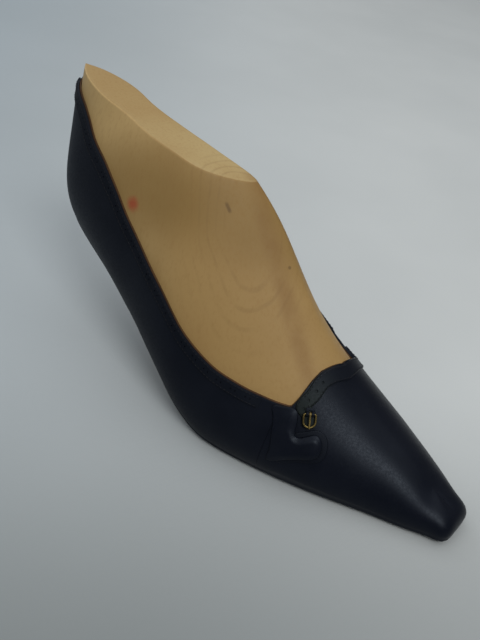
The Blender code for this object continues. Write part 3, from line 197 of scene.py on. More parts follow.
# Details of the leather
COUNTER_FADE = (0.14, COUNTER_END + 0.03)
COUNTER_FADE_UP = (0.25, 0.9)
PUFF_GROW = (PUFF_START - 0.04, 0.93)
PLEAT_DEPTH = 0.28
HEEL_PLEATS_FADE = (0.10, 0.20)
TOE_PLEATS_GROW = (0.90, 0.94)
HEEL_PLEAT_LENGTH = 0.0115
TOE_PLEAT_LENGTH = 0.0075
LINING_SHOWS = 0.55
SHEET_IN = LEATHER_OUT - 0.05
SHEET_ROUND = 0.4
COLLAR_FADE = 9.0
COLLAR_ACROSS = (0.0, 0.06, 0.18, 0.4, 0.8, 1.5, 2.4, 3.2, 4.0, 4.8, 5.3, 5.65, 5.85, 5.95, 6.0)
PAIR_FIRST = 5.0
PAIR_STEP = 8.6
PAIR_SPREAD = 2.6
PUNCH_RADIUS = 0.42
PUNCH_SIDES = 12
PUNCH_RISE = 1.0
STITCH_INSET = 0.85
STITCH_STEP = 2.0
STITCH_LENGTH = 1.55
STITCH_FROM_END = 0.004
THREAD_RADIUS = 0.17
STRAP_STITCH_START = 8.0
STRAP_ACROSS = (-1, -0.985, -0.95, -0.89, -0.75, -0.5, -0.25, 0, 0.25, 0.5, 0.75, 0.89, 0.95, 0.985, 1)
TAB_LOW = 3.0
TAB_EDGE_RISE = 0.3
TAB_PILLOW = 1.8
PAD_EDGE_SHARES = (0.0, 0.004, 0.012, 0.026, 0.045, 0.07, 0.1, 0.14)

# The wood's figure and marks, in metres in the frame
SAWN_FACE = (0.185, 0.0, 0.983)
HEART_START = (-0.0400, -0.0110, 0.1090)
HEART_END = (-0.0080, 0.0050, 0.1060)
PITH = (-0.0115, 0.0011, 0.1060)
PITH_TOP = (-0.0317, -0.0008, 0.2034)
RING_WANDER = 0.010
RING_SCALE = 72.0
BAND_START = (-0.0112, 0.0096, 0.1127)
BAND_END = (0.0208, 0.0005, 0.0738)
STREAK_MIDDLE = (-0.0208, -0.0035, 0.1114)
STREAK_END = (-0.0190, -0.0035, 0.1093)
DOT = (0.0110, 0.0092, 0.0890)
SMUDGE = (-0.0627, -0.0219, 0.1006)

# Two places on each crease in the cloth
CREASES = (
    ((-0.130, 0.230, 0.0), (-0.060, 0.414, 0.0)),
    ((0.058, 0.111, 0.0), (0.076, 0.155, 0.0)),
    ((-0.225, 0.015, 0.0), (-0.209, 0.036, 0.0)),
)
CREASE_WIDTH = 0.005

# The photograph's camera: where it looks from, and how it is turned
CAMERA_YAW = 121.893
CAMERA_PITCH = 38.683
CAMERA_ROLL = 10.772
CAMERA_DISTANCE = 359.58
CAMERA_ASIDE = 6.211
CAMERA_UP = 3.985
CAMERA_TARGET = (130.0, 0.0, 50.0)
CAMERA_LENS = 39.375

# Each lamp's name, place and size in metres, power in watts, and colour
LAMPS = (
    ("ceiling", (0.0, 0.2, 1.8), (2.8, 2.8), 22.0, (1.0, 0.99, 0.97)),
    ("left", (-1.2, 0.3, 0.8), (1.0, 0.8), 4.0, (0.94, 0.98, 1.0)),
    ("front", (-0.5, -1.1, 0.9), (1.0, 1.0), 2.0, (1.0, 0.99, 0.97)),
    ("toe", (0.75, -0.5, 1.15), (0.5, 0.5), 7.5, (1.0, 0.98, 0.94)),
)
WORLD_COLOUR = (0.95, 0.98, 1.0, 1.0)
WORLD_STRENGTH = 0.13


def unit(vectors):
    """Each vector at length one."""
    return vectors / np.linalg.norm(vectors, axis=-1, keepdims=True)


def smooth_step(low, high, value):
    """0 below low, 1 above high, and an S between them."""
    share = np.clip((np.asarray(value, float) - low) / (high - low), 0, 1)
    return share * share * (3 - 2 * share)


def run_length(path):
    """Distance along a path of points, from 0 at its first."""
    return np.concatenate([[0.0], np.cumsum(np.linalg.norm(np.diff(path, axis=0), axis=-1))])


def in_frame(points):
    """Places in metres in the frame, from millimetres behind the heel."""
    return (points + FRAME_SHIFT) * MM


def grid_faces(rows, columns, start=0):
    """The four-sided faces of a grid of points whose first is number start."""
    corner = start + np.arange(rows * columns).reshape(rows, columns)
    quads = np.stack([corner[:-1, :-1], corner[:-1, 1:], corner[1:, 1:], corner[1:, :-1]], -1)
    return quads.reshape(-1, 4).tolist()


def add_object(name, data):
    """An object of the scene with this mesh, lamp or camera."""
    added = bpy.data.objects.new(name, data)
    bpy.context.scene.collection.objects.link(added)
    return added


class Curve:
    """Cubic pieces through points, joined with one slope and one curvature."""

    def __init__(self, at, values, closed=False):
        self.at = np.array(at, float)
        self.values = np.array(values, float)
        self.slopes = self.joined_slopes(closed)

    def joined_slopes(self, closed):
        step = np.diff(self.at)
        rise = np.diff(self.values) / step
        count = len(self.at)
        matrix = np.zeros((count, count))
        right = np.zeros(count)
        for i in range(1, count - 1):
            matrix[i, i - 1] = 1 / step[i - 1]
            matrix[i, i] = 2 / step[i - 1] + 2 / step[i]
            matrix[i, i + 1] = 1 / step[i]
            right[i] = 3 * (rise[i - 1] / step[i - 1] + rise[i] / step[i])
        if closed:
            matrix[0, 0] = 2 / step[-1] + 2 / step[0]
            matrix[0, 1] = 1 / step[0]
            matrix[0, -2] = 1 / step[-1]
            right[0] = 3 * (rise[-1] / step[-1] + rise[0] / step[0])
            matrix[-1, 0] = 1
            matrix[-1, -1] = -1
        else:
            matrix[0, :2] = (2, 1)
            matrix[-1, -2:] = (1, 2)
            right[0] = 3 * rise[0]
            right[-1] = 3 * rise[-1]
        return np.linalg.solve(matrix, right)

    def piece(self, where):
        where = np.asarray(where, float)
        i = np.clip(np.searchsorted(self.at, where, side="right") - 1, 0, len(self.at) - 2)
        step = self.at[i + 1] - self.at[i]
        return i, (where - self.at[i]) / step, step

    def __call__(self, where):
        i, u, step = self.piece(where)
        start = self.values[i] * (1 + 2 * u) * (1 - u) ** 2 + self.slopes[i] * step * u * (1 - u) ** 2
        end = self.values[i + 1] * u * u * (3 - 2 * u) + self.slopes[i + 1] * step * u * u * (u - 1)
        return start + end

    def slope(self, where):
        i, u, step = self.piece(where)
        rise = 6 * u * (1 - u) * (self.values[i + 1] - self.values[i]) / step
        return rise + self.slopes[i] * (1 - u) * (1 - 3 * u) + self.slopes[i + 1] * u * (3 * u - 2)


class Fair(Curve):
    """Cubic pieces that never overshoot their points."""

    def joined_slopes(self, closed):
        step = np.diff(self.at)
        rise = np.diff(self.values) / step
        slopes = np.zeros(len(self.at))
        slopes[0] = rise[0]
        slopes[-1] = rise[-1]
        for i in range(1, len(self.at) - 1):
            if rise[i - 1] * rise[i] > 0:
                before = 2 * step[i] + step[i - 1]
                after = step[i] + 2 * step[i - 1]
                slopes[i] = (before + after) / (before / rise[i - 1] + after / rise[i])
        return slopes


def around(outer_values, inner_values):
    """A closed curve over s: the outer side from -1 to 0, the inner side from 0 to 1."""
    along = np.array([station.along for station in STATIONS])
    at = np.concatenate([-along[::-1], along[1:]])
    values = np.concatenate([outer_values[::-1], inner_values[1:]])
    return Curve(at, values, closed=True)


class Block:
    """The wooden block's surface: s goes round it (-1 to 1, outer side negative), t goes up."""

    def __init__(self):
        self.plan = [
            around([row.outer[axis] for row in STATIONS], [row.inner[axis] for row in STATIONS])
            for axis in (0, 1)
        ]
        self.rise, self.reach, self.lean = (
            around(*zip(*[getattr(row, value) for row in STATIONS]))
            for value in ("rise", "reach", "lean")
        )
        along = [row.along for row in STATIONS]
        self.crest = [Curve(along, [row.crest[axis] for row in STATIONS]) for axis in (0, 1, 2)]
        self.fan = Curve(along, [row.fan for row in STATIONS])
        self.profile = Fair(*zip(*UNDERSIDE_PROFILE))

    def sole_height(self, x, y):
        window = np.clip(1 - ((x - ARCH_MIDDLE) / ARCH_HALF_LENGTH) ** 2, 0, 1) ** 2
        return self.profile(x) + ARCH_RISE * np.clip(y / ARCH_HALF_WIDTH, 0, 1) * window

    def feather(self, s):
        """The edge between the wall and the underside."""
        x = self.plan[0](s)
        y = self.plan[1](s)
        return np.stack([x, y, self.sole_height(x, y)], -1)

    def outward(self, s):
        """The level direction that faces out from the feather edge."""
        level = np.stack([-self.plan[1].slope(s), self.plan[0].slope(s), 0 * s], -1)
        return unit(level)

    def crest_direction(self, along):
        return unit(np.stack([self.crest[0].slope(along), 0 * along, self.crest[2].slope(along)], -1))

    def wall(self, s, t):
        """A point of the wall; past t = 1 it runs down the other side of the crest."""
        s, t = np.broadcast_arrays(np.asarray(s, float), np.asarray(t, float))
        s = np.where(t > 1, -s, s)
        t = np.where(t > 1, 2 - t, t)
        s = (s + 1) % 2 - 1
        along = np.abs(s)
        foot = self.feather(s)
        top = np.stack([curve(along) for curve in self.crest], -1)
        lean = np.radians(self.lean(s))
        up = self.outward(s) * np.sin(lean)[..., None]
        up[..., 2] += np.cos(lean)
        fan = np.radians(self.fan(along))
        over = -self.crest_direction(along) * np.sin(fan)[..., None]
        over[..., 1] += np.where(s < 0, -1.0, 1.0) * np.cos(fan)
        first = foot + self.rise(s)[..., None] * up
        second = top + self.reach(s)[..., None] * over
        t = t[..., None]
        low = (1 - t) ** 3 * foot + 3 * (1 - t) ** 2 * t * first
        return low + 3 * (1 - t) * t ** 2 * second + t ** 3 * top

    def normal(self, s, t):
        """The direction out of the wall."""
        s, t = np.broadcast_arrays(np.asarray(s, float), np.asarray(t, float))
        s = np.where(t > 1, -s, s)
        t = np.where(t > 1, 2 - t, t)
        step = 1e-4
        inside = np.clip(t, step, 1 - step)
        around_it = self.wall(s + step, inside) - self.wall(s - step, inside)
        up_it = self.wall(s, inside + step) - self.wall(s, inside - step)
        out = unit(np.cross(up_it, around_it))
        at_crest = np.cross(self.crest_direction(np.abs(s)), np.array([0.0, 1.0, 0.0]))
        return np.where((t >= 1)[..., None], at_crest, out)

    def skin(self, s, t, depth):
        """A point that stands off the wall by a depth."""
        return self.wall(s, t) + np.asarray(depth, float)[..., None] * self.normal(s, t)

    def moved(self, s, t, move):
        """The place (s, t) reached by a short move along the surface."""
        s, t = np.broadcast_arrays(np.asarray(s, float), np.asarray(t, float))
        s = s.copy()
        t = t.copy()
        steps = 6
        nudge = 1e-4
        for _ in range(steps):
            along = (self.wall(s + nudge, t) - self.wall(s - nudge, t)) / (2 * nudge)
            up = (self.wall(s, t + nudge) - self.wall(s, t - nudge)) / (2 * nudge)
            aa = (along * along).sum(-1)
            au = (along * up).sum(-1)
            uu = (up * up).sum(-1)
            am = (along * move).sum(-1) / steps
            um = (up * move).sum(-1) / steps
            spread = aa * uu - au * au
            s += (am * uu - um * au) / spread
            t += (um * aa - am * au) / spread
        return s, t

    def climb(self, s, t):
        """How many millimetres one unit of t climbs at (s, t)."""
        nudge = 1e-3
        low = np.clip(t, nudge, 1 - nudge)
        rise = self.wall(s, low + nudge) - self.wall(s, low - nudge)
        return np.linalg.norm(rise, axis=-1) / (2 * nudge)

    def middle(self, s):
        """The point in the middle of the underside that (s) faces."""
        along = np.clip(np.abs(s), FAN_HEEL, FAN_TOE)
        return (self.feather(along) + self.feather(-along)) / 2

    def underside(self, s, inset, depth):
        """A point under the block, inset from the feather edge and lowered by a depth."""
        edge = self.feather(s)
        middle = self.middle(s)
        width = np.linalg.norm((middle - edge)[..., :2], axis=-1)
        share = np.minimum(inset / width, MARGIN_SHARE)
        point = edge + (middle - edge) * share[..., None]
        behind = np.clip(point[..., 0] / SEAT_LENGTH, 0, 1)
        crown = SEAT_CROWN * (1 - (1 - share) ** 2) * (1 - behind ** 2) ** 2
        point[..., 2] = self.sole_height(point[..., 0], point[..., 1]) - crown - depth
        return point


BLOCK = Block()


def cone_top_height(x):
    """Height of the sawn top."""
    slope = (CONE_TOP_FRONT[1] - CONE_TOP_BACK[1]) / (CONE_TOP_FRONT[0] - CONE_TOP_BACK[0])
    return CONE_TOP_BACK[1] + slope * (x - CONE_TOP_BACK[0])


def above_cut(point):
    return point[..., 2] - cone_top_height(point[..., 0])


def halved(low, high, is_above):
    """The place between low and high where is_above turns true."""
    low = np.array(low, float)
    high = np.array(high, float)
    for _ in range(50):
        middle = (low + high) / 2
        above = is_above(middle)
        high = np.where(above, middle, high)
        low = np.where(above, low, middle)
    return (low + high) / 2


CONE_TIP = float(halved(0.40, 0.55, lambda along: above_cut(BLOCK.wall(along, 1.0)) < 0))


def cut_share(s):
    """How far up each wall the saw cut is."""
    found = halved(0.4 + 0 * s, 1.0 + 0 * s, lambda t: above_cut(BLOCK.wall(s, t)) > 0)
    return np.where(np.abs(s) >= CONE_TIP - TINY, 1.0, found)


OUTER_EDGE = Fair(*zip(*OUTER_TOPLINE))
INNER_EDGE = Fair(*zip(*INNER_TOPLINE))


def topline(s):
    """How far up the wall the leather reaches."""
    along = np.minimum(np.abs(s), THROAT)
    edge = np.where(s < 0, OUTER_EDGE(along), INNER_EDGE(along))
    return np.where(np.abs(s) >= THROAT - TINY, 1.0, edge)


def wrapped(s):
    """The same place round the block, between -1 and 1."""
    return (np.asarray(s, float) + 1) % 2 - 1


def one_side_columns():
    """Shares from heel to toe, about 1.3 mm apart, with more beside the seams and the tip."""
    fine = np.linspace(0, 1, 4001)
    path = BLOCK.wall(-fine, WALL_MIDDLE)
    distance = run_length(path)
    even = np.interp(np.linspace(0, distance[-1], round(distance[-1] / COLUMN_STEP) + 1), distance, fine)
    beside = np.array(BESIDE_EDGE)
    added = [SEAM_GAP + beside]
    for seam in (SIDE_SEAM, LINING_SEAM):
        added += [seam + SEAM_GAP + beside, seam - SEAM_GAP - beside]
    added.append(THROAT + beside)
    added.append(THROAT - beside)
    added.append(np.array([COLLAR_END]) - beside)
    added.append(CONE_TIP - TIP_SPREAD * np.linspace(0, 1, 14) ** 2)
    exact = np.unique(np.concatenate(added))
    near = np.abs(even[:, None] - exact[None]).min(axis=1) < COLUMN_CLEAR
    keep = even[~near | (even <= 0) | (even >= 1)]
    return np.unique(np.concatenate([keep, exact]))


ONE_SIDE = one_side_columns()


def columns_between(start, end):
    """Columns from s = start to s = end, which may be up to 2: past 1 they run down the outer side."""
    every = np.concatenate([-ONE_SIDE[:0:-1], ONE_SIDE, 2 - ONE_SIDE[-2:0:-1]])
    return every[(every >= start - TINY) & (every <= end + TINY)]


def roundness(border, radius):
    """Share of the full thickness at a distance from a sheet's edge."""
    inward = np.clip(np.asarray(border, float) / radius, 0, 1)
    return np.sqrt(1 - (1 - inward) ** 2)


def run_along(s):
    """Distance along the middle of the wall, in millimetres, at each column."""
    return run_length(BLOCK.wall(wrapped(s), WALL_MIDDLE))


def closed_mesh(name, points, faces):
    """A mesh from points in millimetres and faces, with its faces turned outwards."""
    mesh = bpy.data.meshes.new(name)
    mesh.from_pydata(in_frame(points).tolist(), [], faces)
    shape = bmesh.new()
    shape.from_mesh(mesh)
    bmesh.ops.remove_doubles(shape, verts=shape.verts, dist=WELD)
    bmesh.ops.recalc_face_normals(shape, faces=shape.faces)
    if shape.calc_volume(signed=True) < 0:
        bmesh.ops.reverse_faces(shape, faces=shape.faces)
    shape.to_mesh(mesh)
    shape.free()
    return mesh


def piece_from_grids(name, grids, material, body="last", sharp=SHARP_DEGREES):
    """One piece on a body of the frame, from grids of points; points that coincide are made one."""
    points = []
    faces = []
    for grid in grids:
        faces += grid_faces(*grid.shape[:2], start=sum(len(block) for block in points))
        points.append(grid.reshape(-1, 3))
    mesh = closed_mesh(name, np.concatenate(points), faces)
    mesh.materials.append(material)
    mesh.shade_smooth()
    mesh.set_sharp_from_angle(angle=math.radians(sharp))
    piece = add_object(name, mesh)
    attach(piece, body)
    return piece


def cutter_from_faces(points, faces):
    """A solid that is only there to be cut out of a piece."""
    return add_object("cutter", closed_mesh("cutter", points, faces))


def cut_holes(piece, cutter):
    """Take the cutter's shape out of the piece's mesh, and drop the cutter."""
    boolean = piece.modifiers.new("holes", "BOOLEAN")
    boolean.operation = "DIFFERENCE"
    boolean.solver = "MANIFOLD"
    boolean.object = cutter
    bpy.context.view_layer.update()
    shown = piece.evaluated_get(bpy.context.evaluated_depsgraph_get())
    cut_mesh = bpy.data.meshes.new_from_object(shown)
    piece.modifiers.remove(boolean)
    piece.data = cut_mesh
    cut_mesh.set_sharp_from_angle(angle=math.radians(SHARP_DEGREES))
    bpy.data.objects.remove(cutter, do_unlink=True)


def last_wood(material):
    """The wooden block with its sawn top, whose arris is eased."""
    s = columns_between(-1, 1)
    cut_at = cut_share(s)
    shares = np.linspace(0, 1, WOOD_ROWS)
    rows = [BLOCK.underside(s, inset, 0.0) for inset in WOOD_INSETS]
    rows.append(BLOCK.feather(s))
    rows += [BLOCK.wall(s, cut_at * share) for share in shares[1:-1]]
    rim = BLOCK.wall(s, cut_at)
    other = BLOCK.wall(-s, cut_share(-s))
    sawn = np.abs(s) < CONE_TIP - TINY
    centre = np.where(sawn[:, None], (rim + other) / 2, rim)
    width = np.linalg.norm(centre - rim, axis=-1)
    ease = np.minimum(ARRIS, 0.4 * width)
    below = rim + unit(rows[-1] - rim) * ease[:, None]
    level = np.where(width > 1e-6, ease / np.maximum(width, 1e-6), 0)[:, None]
    inside = rim + (centre - rim) * level
    for turn in (0.0, 0.25, 0.5, 0.75, 1.0):
        rows.append((1 - turn) ** 2 * below + 2 * turn * (1 - turn) * rim + turn ** 2 * inside)
    for share in (0.35, 0.7, 1.0):
        rows.append(inside + (centre - inside) * share)
    piece = piece_from_grids("wooden_last", [np.array(rows)], material, sharp=50)
    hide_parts("last_body")


def edge_corner(s, corner, depth):
    """The points where a layer turns round the insole's side: 0 at the wall, 1, then 2."""
    right = np.array([1.0, 0.0])
    bevel = np.array([1.0, -1.0]) / math.sqrt(2)
    down = np.array([0.0, -1.0])
    lean = np.radians(BLOCK.lean(s))
    wall_out = np.stack([np.cos(lean), -np.sin(lean)], -1)
    if corner == 0:
        place = np.zeros(2)
        spread = (wall_out + right) / (1 + wall_out @ right)[..., None]
    elif corner == 1:
        place = np.array([0.0, -EDGE_DROP])
        spread = np.tile((right + bevel) / (1 + right @ bevel), (len(s), 1))
    else:
        place = np.array([-(INSOLE_BOTTOM - EDGE_DROP), -INSOLE_BOTTOM])
        spread = np.tile((bevel + down) / (1 + bevel @ down), (len(s), 1))
    flat = place + np.asarray(depth, float)[..., None] * spread
    point = BLOCK.feather(s) + BLOCK.outward(s) * flat[..., :1]
    point[..., 2] += flat[..., 1]
    return point


def eased(rows):
    """Rows of points with the corners between them cut off, twice over."""
    for _ in range(2):
        cut = [rows[0]]
        for first, second in zip(rows, rows[1:]):
            cut.append(0.75 * first + 0.25 * second)
            cut.append(0.25 * first + 0.75 * second)
        cut.append(rows[-1])
        rows = cut
    return rows


def stiffener_lift(s, share):
    """How far the counter and the toe puff lift the outer leather, fading at their edges."""
    along = np.abs(s)
    counter = 1 - smooth_step(*COUNTER_FADE, along)
    counter = counter * (1 - smooth_step(*COUNTER_FADE_UP, share))
    puff = smooth_step(*PUFF_GROW, along)
    return (STIFFENER + CLEARANCE) * np.maximum(counter, puff)


def pleats(s, share):
    """The gathers where the leather is drawn over round the heel and the toe."""
    along = np.abs(s)
    heel_wave = np.sin(along * 2 * math.pi / HEEL_PLEAT_LENGTH + np.sin(s * 90))
    toe_wave = np.sin(along * 2 * math.pi / TOE_PLEAT_LENGTH + np.sin(s * 70))
    heel = (1 - smooth_step(*HEEL_PLEATS_FADE, along)) * heel_wave
    toe = smooth_step(*TOE_PLEATS_GROW, along) * toe_wave
    return share * PLEAT_DEPTH * (heel + toe)


def margin_inset(s, inset):
    """The margin is trimmed by hand, so its edge wanders."""
    wander = 0.5 * np.sin(s * 41.0) + 0.35 * np.sin(s * 97.0 + 1.0) + 0.2 * np.sin(s * 211.0)
    return inset + wander * smooth_step(6.0, 12.0, inset)


def layer_points(s, top, depth, lift):
    """Rows of points of an upper layer: margin, turn and wall.

    depth has a value for each row and column; lift is 1 where stiffeners and pleats show, or 0.
    """
    w = wrapped(s)
    rows = []
    for k, inset in enumerate(MARGIN_INSETS):
        share = smooth_step(4.0, 12.0, inset)
        level = depth[k] + lift * pleats(w, share)
        point = BLOCK.underside(w, margin_inset(w, inset), INSOLE_BOTTOM)
        point[:, 2] -= level
        rows.append(point)
    k = len(MARGIN_INSETS)
    at_turn = depth[k]
    raised = at_turn + lift * stiffener_lift(w, 0.0)
    turn = BLOCK.underside(w, TURN_INSET, INSOLE_BOTTOM)
    turn[:, 2] -= at_turn
    wall_start = FIRST_WALL_SHARE * top
    corner = [
        turn, edge_corner(w, 2, at_turn), edge_corner(w, 1, raised), edge_corner(w, 0, raised),
        BLOCK.skin(w, wall_start, raised),
    ]
    turned = eased(corner)
    rows += turned
    shares = wall_shares(w, top)
    for j, t in enumerate(shares):
        row = k + len(turned) + j
        rows.append(BLOCK.skin(w, t, depth[row] + lift * stiffener_lift(w, t / np.maximum(top, 1e-6))))
    return np.array(rows)


def wall_shares(w, top):
    """Shares up the wall of the rows above the turn, close together at the top edge."""
    climb = BLOCK.climb(w, top - UNDER_EDGE)
    high = top - TOP_ROWS[0] / climb
    low = FIRST_WALL_SHARE * top
    rows = [low + (high - low) * share for share in np.linspace(0, 1, WALL_ROW_COUNT)[1:-1]]
    rows += [top - distance / climb for distance in TOP_ROWS]
    return rows


def upper_layer(name, start, end, inner, outer, top, lift, material, slot, node):
    """One piece of the upper between two seams, with rounded edges all round."""
    s = columns_between(start, end)
    w = wrapped(s)
    edge = top(w)
    run = run_along(s)
    from_ends = np.minimum(run, run[-1] - run) * EDGE_ROUND / SEAM_ROUND
    margin = np.array(MARGIN_INSETS)
    wall = wall_shares(w, edge)
    climb = BLOCK.climb(w, edge - UNDER_EDGE)
    speed = np.linalg.norm(BLOCK.wall(THROAT + 1e-3, 1.0) - BLOCK.wall(THROAT, 1.0)) / 1e-3
    past_throat = np.maximum(np.abs(w) - THROAT, 0) * speed
    border = [np.minimum(from_ends, margin[0] - inset) for inset in margin]
    border += [from_ends] * TURN_ROWS
    for t in wall:
        to_edge = np.hypot((edge - t) * climb, past_throat)
        border.append(np.minimum(from_ends, to_edge))
    border = np.array(border)
    full = roundness(border, EDGE_ROUND)
    outside = layer_points(s, edge, inner + (outer - inner) * full, lift)
    inside = layer_points(s, edge, np.full(border.shape, inner), lift)
    piece = piece_from_grids(name, [outside, inside], material)
    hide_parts(node)


def lining_top(w):
    """The lining stands a little above the leather, and meets itself on the crest."""
    edge = topline(w)
    return np.minimum(edge + LINING_SHOWS / BLOCK.climb(w, edge - UNDER_LINING_EDGE), 1.0)


def sheet_on_wall(s, t, border, outer):
    """The two faces of a sheet on the leather whose thickness falls to nothing at its border."""
    full = roundness(border, SHEET_ROUND)
    outside = BLOCK.skin(s, t, SHEET_IN + (outer - SHEET_IN) * full)
    inside = BLOCK.skin(s, t, np.full(s.shape, SHEET_IN))
    return [outside, inside]


def collar(name, start, end, material, node):
    """The band stitched along the edge of a quarter, punched with pairs of holes."""
    s = columns_between(start, end)
    run = run_along(s)
    outward_run = run if start > 0 else run[-1] - run
    from_ends = np.minimum(outward_run, (run[-1] - outward_run) * SHEET_ROUND / COLLAR_FADE)
    edge = topline(s)
    climb = BLOCK.climb(s, edge - UNDER_EDGE)
    across = np.array(COLLAR_ACROSS)
    t = edge - across[:, None] / climb
    border = np.minimum(np.minimum(across, COLLAR_WIDTH - across)[:, None], from_ends)
    grids = sheet_on_wall(np.broadcast_to(s, t.shape), t, border, COLLAR_OUT)
    piece = piece_from_grids(name, grids, material)
    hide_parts(node)

    order = np.argsort(outward_run)
    s_at = Fair(outward_run[order], s[order])
    holes = []
    for middle in np.arange(PAIR_FIRST, run[-1] - PAIR_FIRST / 2, PAIR_STEP):
        for side in (-1, 1):
            hole_s = float(s_at(middle + side * PAIR_SPREAD / 2))
            hole_edge = topline(hole_s)
            hole_climb = BLOCK.climb(hole_s, hole_edge - UNDER_EDGE)
            hole_t = float(hole_edge - COLLAR_WIDTH / 2 / hole_climb)
            holes.append((hole_s, hole_t, PUNCH_RADIUS))
    cut_holes(piece, punches(holes, LEATHER_OUT + 0.02, COLLAR_OUT + PUNCH_RISE))


def collar_stitches(name, start, end, material):
    """The two rows of stitches that hold a collar band."""
    every = np.linspace(start, end, 500)
    bodies = []
    for across in (STITCH_INSET, COLLAR_WIDTH - STITCH_INSET):
        edge = topline(every)
        t = edge - across / BLOCK.climb(every, edge - UNDER_EDGE)
        line = BLOCK.skin(every, t, np.full(t.shape, COLLAR_OUT))
        bodies += stitch_bodies(line, BLOCK.normal(every, t))
    piece_from_grids(name, bodies, material)


def stitch_bodies(line, out):
    """A body for each stitch along a line that lies on leather, rising from it and dipping back."""
    distance = run_length(line)
    count = int(distance[-1] / STITCH_STEP)
    along = np.linspace(-1, 1, 9)
    full = np.sqrt(1 - along ** 4)
    angles = np.linspace(0, 2 * math.pi, 9)
    bodies = []
    for k in range(count):
        where = (k + 0.5) * STITCH_STEP + along * STITCH_LENGTH / 2
        middle = np.stack([np.interp(where, distance, line[:, axis]) for axis in range(3)], -1)
        up = unit(np.stack([np.interp(where, distance, out[:, axis]) for axis in range(3)], -1))
        side = unit(np.cross(np.gradient(middle, axis=0), up))
        raised = middle + up * (THREAD_RADIUS * (1.1 * full - 0.6))[:, None]
        rings = [
            raised + (side * math.cos(a) + up * math.sin(a)) * (THREAD_RADIUS * full)[:, None]
            for a in angles
        ]
        bodies.append(np.array(rings).transpose(1, 0, 2))
    return bodies


def strap_middle():
    """The middle of the strap by distance from its tail: s, t, half width, and the whole length."""
    s = np.array([row[0] for row in STRAP_ALONG_EDGE])
    half = np.array([row[1] for row in STRAP_ALONG_EDGE])
    t = topline(s)
    over = s > 0
    s = np.where(over, -s, s)
    t = np.where(over, 2 - t, t)
    edge = BLOCK.wall(s, t)
    heading = unit(np.gradient(edge, axis=0))
    inward = unit(np.cross(BLOCK.normal(s, t), heading))
    s, t = BLOCK.moved(s, t, -inward * (half + STRAP_EDGE_MARGIN)[:, None])
    tail = np.array(STRAP_TAIL)
    s = np.concatenate([tail[:, 0], s])
    t = np.concatenate([tail[:, 1], t])
    half = np.concatenate([tail[:, 2], half])
    distance = run_length(BLOCK.wall(s, t))
    return Curve(distance, s), Curve(distance, t), Curve(distance, half), distance[-1]


def strap_sides(s, t):
    """The direction across the strap at each place of its middle."""
    heading = unit(np.gradient(BLOCK.wall(s, t), axis=0))
    return unit(np.cross(BLOCK.normal(s, t), heading))


def strap(material):
    """The narrow strap round the throat, with its holes."""
    s_at, t_at, half_at, length = strap_middle()
    ends = np.array([0.0, 0.06, 0.18, 0.4])
    distance = np.unique(np.concatenate([ends, np.linspace(0.8, length - 0.8, 100), length - ends]))
    s = s_at(distance)
    t = t_at(distance)
    side = strap_sides(s, t)
    half = half_at(distance)
    rows = []
    borders = []
    for share in STRAP_ACROSS:
        rows.append(BLOCK.moved(s, t, side * (half * share)[:, None]))
        borders.append(np.minimum(half * (1 - abs(share)), np.minimum(distance, length - distance)))
    s_grid = np.array([row[0] for row in rows])
    t_grid = np.array([row[1] for row in rows])
    grids = sheet_on_wall(s_grid, t_grid, np.array(borders), STRAP_OUT)
    piece = piece_from_grids("throat_strap_fine", grids, material)
    holes = []
    for number in range(STRAP_HOLE_COUNT):
        at = STRAP_HOLE_FIRST + number * STRAP_HOLE_STEP
        holes.append((float(s_at(at)), float(t_at(at)), STRAP_HOLE_RADIUS))
    cut_holes(piece, punches(holes, LEATHER_OUT + 0.05, STRAP_OUT + PUNCH_RISE))
    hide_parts("throat_strap")


def strap_stitches(material):
    """A row of stitches along each side of the strap."""
    s_at, t_at, half_at, length = strap_middle()
    distance = np.linspace(STRAP_STITCH_START, length - 1.0, 300)
    s = s_at(distance)
    t = t_at(distance)
    side = strap_sides(s, t)
    bodies = []
    for edge in (-1, 1):
        row_s, row_t = BLOCK.moved(s, t, side * (edge * (half_at(distance) - STITCH_INSET))[:, None])
        line = BLOCK.skin(row_s, row_t, np.full(row_t.shape, STRAP_OUT))
        bodies += stitch_bodies(line, BLOCK.normal(row_s, row_t))
    piece_from_grids("strap_stitches", bodies, material)


def punches(holes, bottom, top):
    """Upright posts through the surface at places (s, t, radius), as one cutter."""
    points = []
    faces = []
    for s, t, radius in holes:
        out = BLOCK.normal(s, t)
        across = unit(np.cross(out, np.array([0.3, 0.1, 1.0])))
        along = np.cross(out, across)
        start = len(points)
        for depth in (bottom, top):
            centre = BLOCK.wall(s, t) + out * depth
            for k in range(PUNCH_SIDES):
                angle = 2 * math.pi * k / PUNCH_SIDES
                points.append(centre + radius * (across * math.cos(angle) + along * math.sin(angle)))
        for k in range(PUNCH_SIDES):
            after = (k + 1) % PUNCH_SIDES
            upper = start + PUNCH_SIDES
            faces.append((start + k, start + after, upper + after, upper + k))
        faces.append(tuple(start + k for k in range(PUNCH_SIDES))[::-1])
        faces.append(tuple(start + PUNCH_SIDES + k for k in range(PUNCH_SIDES)))
    return cutter_from_faces(np.array(points), faces)


def tab_axes():
    """The toe-ward and upward directions in the plane of the wall at the tab."""
    out = BLOCK.normal(*TAB_PLACE)
    forward = unit(np.cross(out, np.array([0.0, 0.0, 1.0])))
    if forward[0] < 0:
        forward = -forward
    up = np.cross(forward, out)
    if up[2] < 0:
        up = -up
    return forward, up


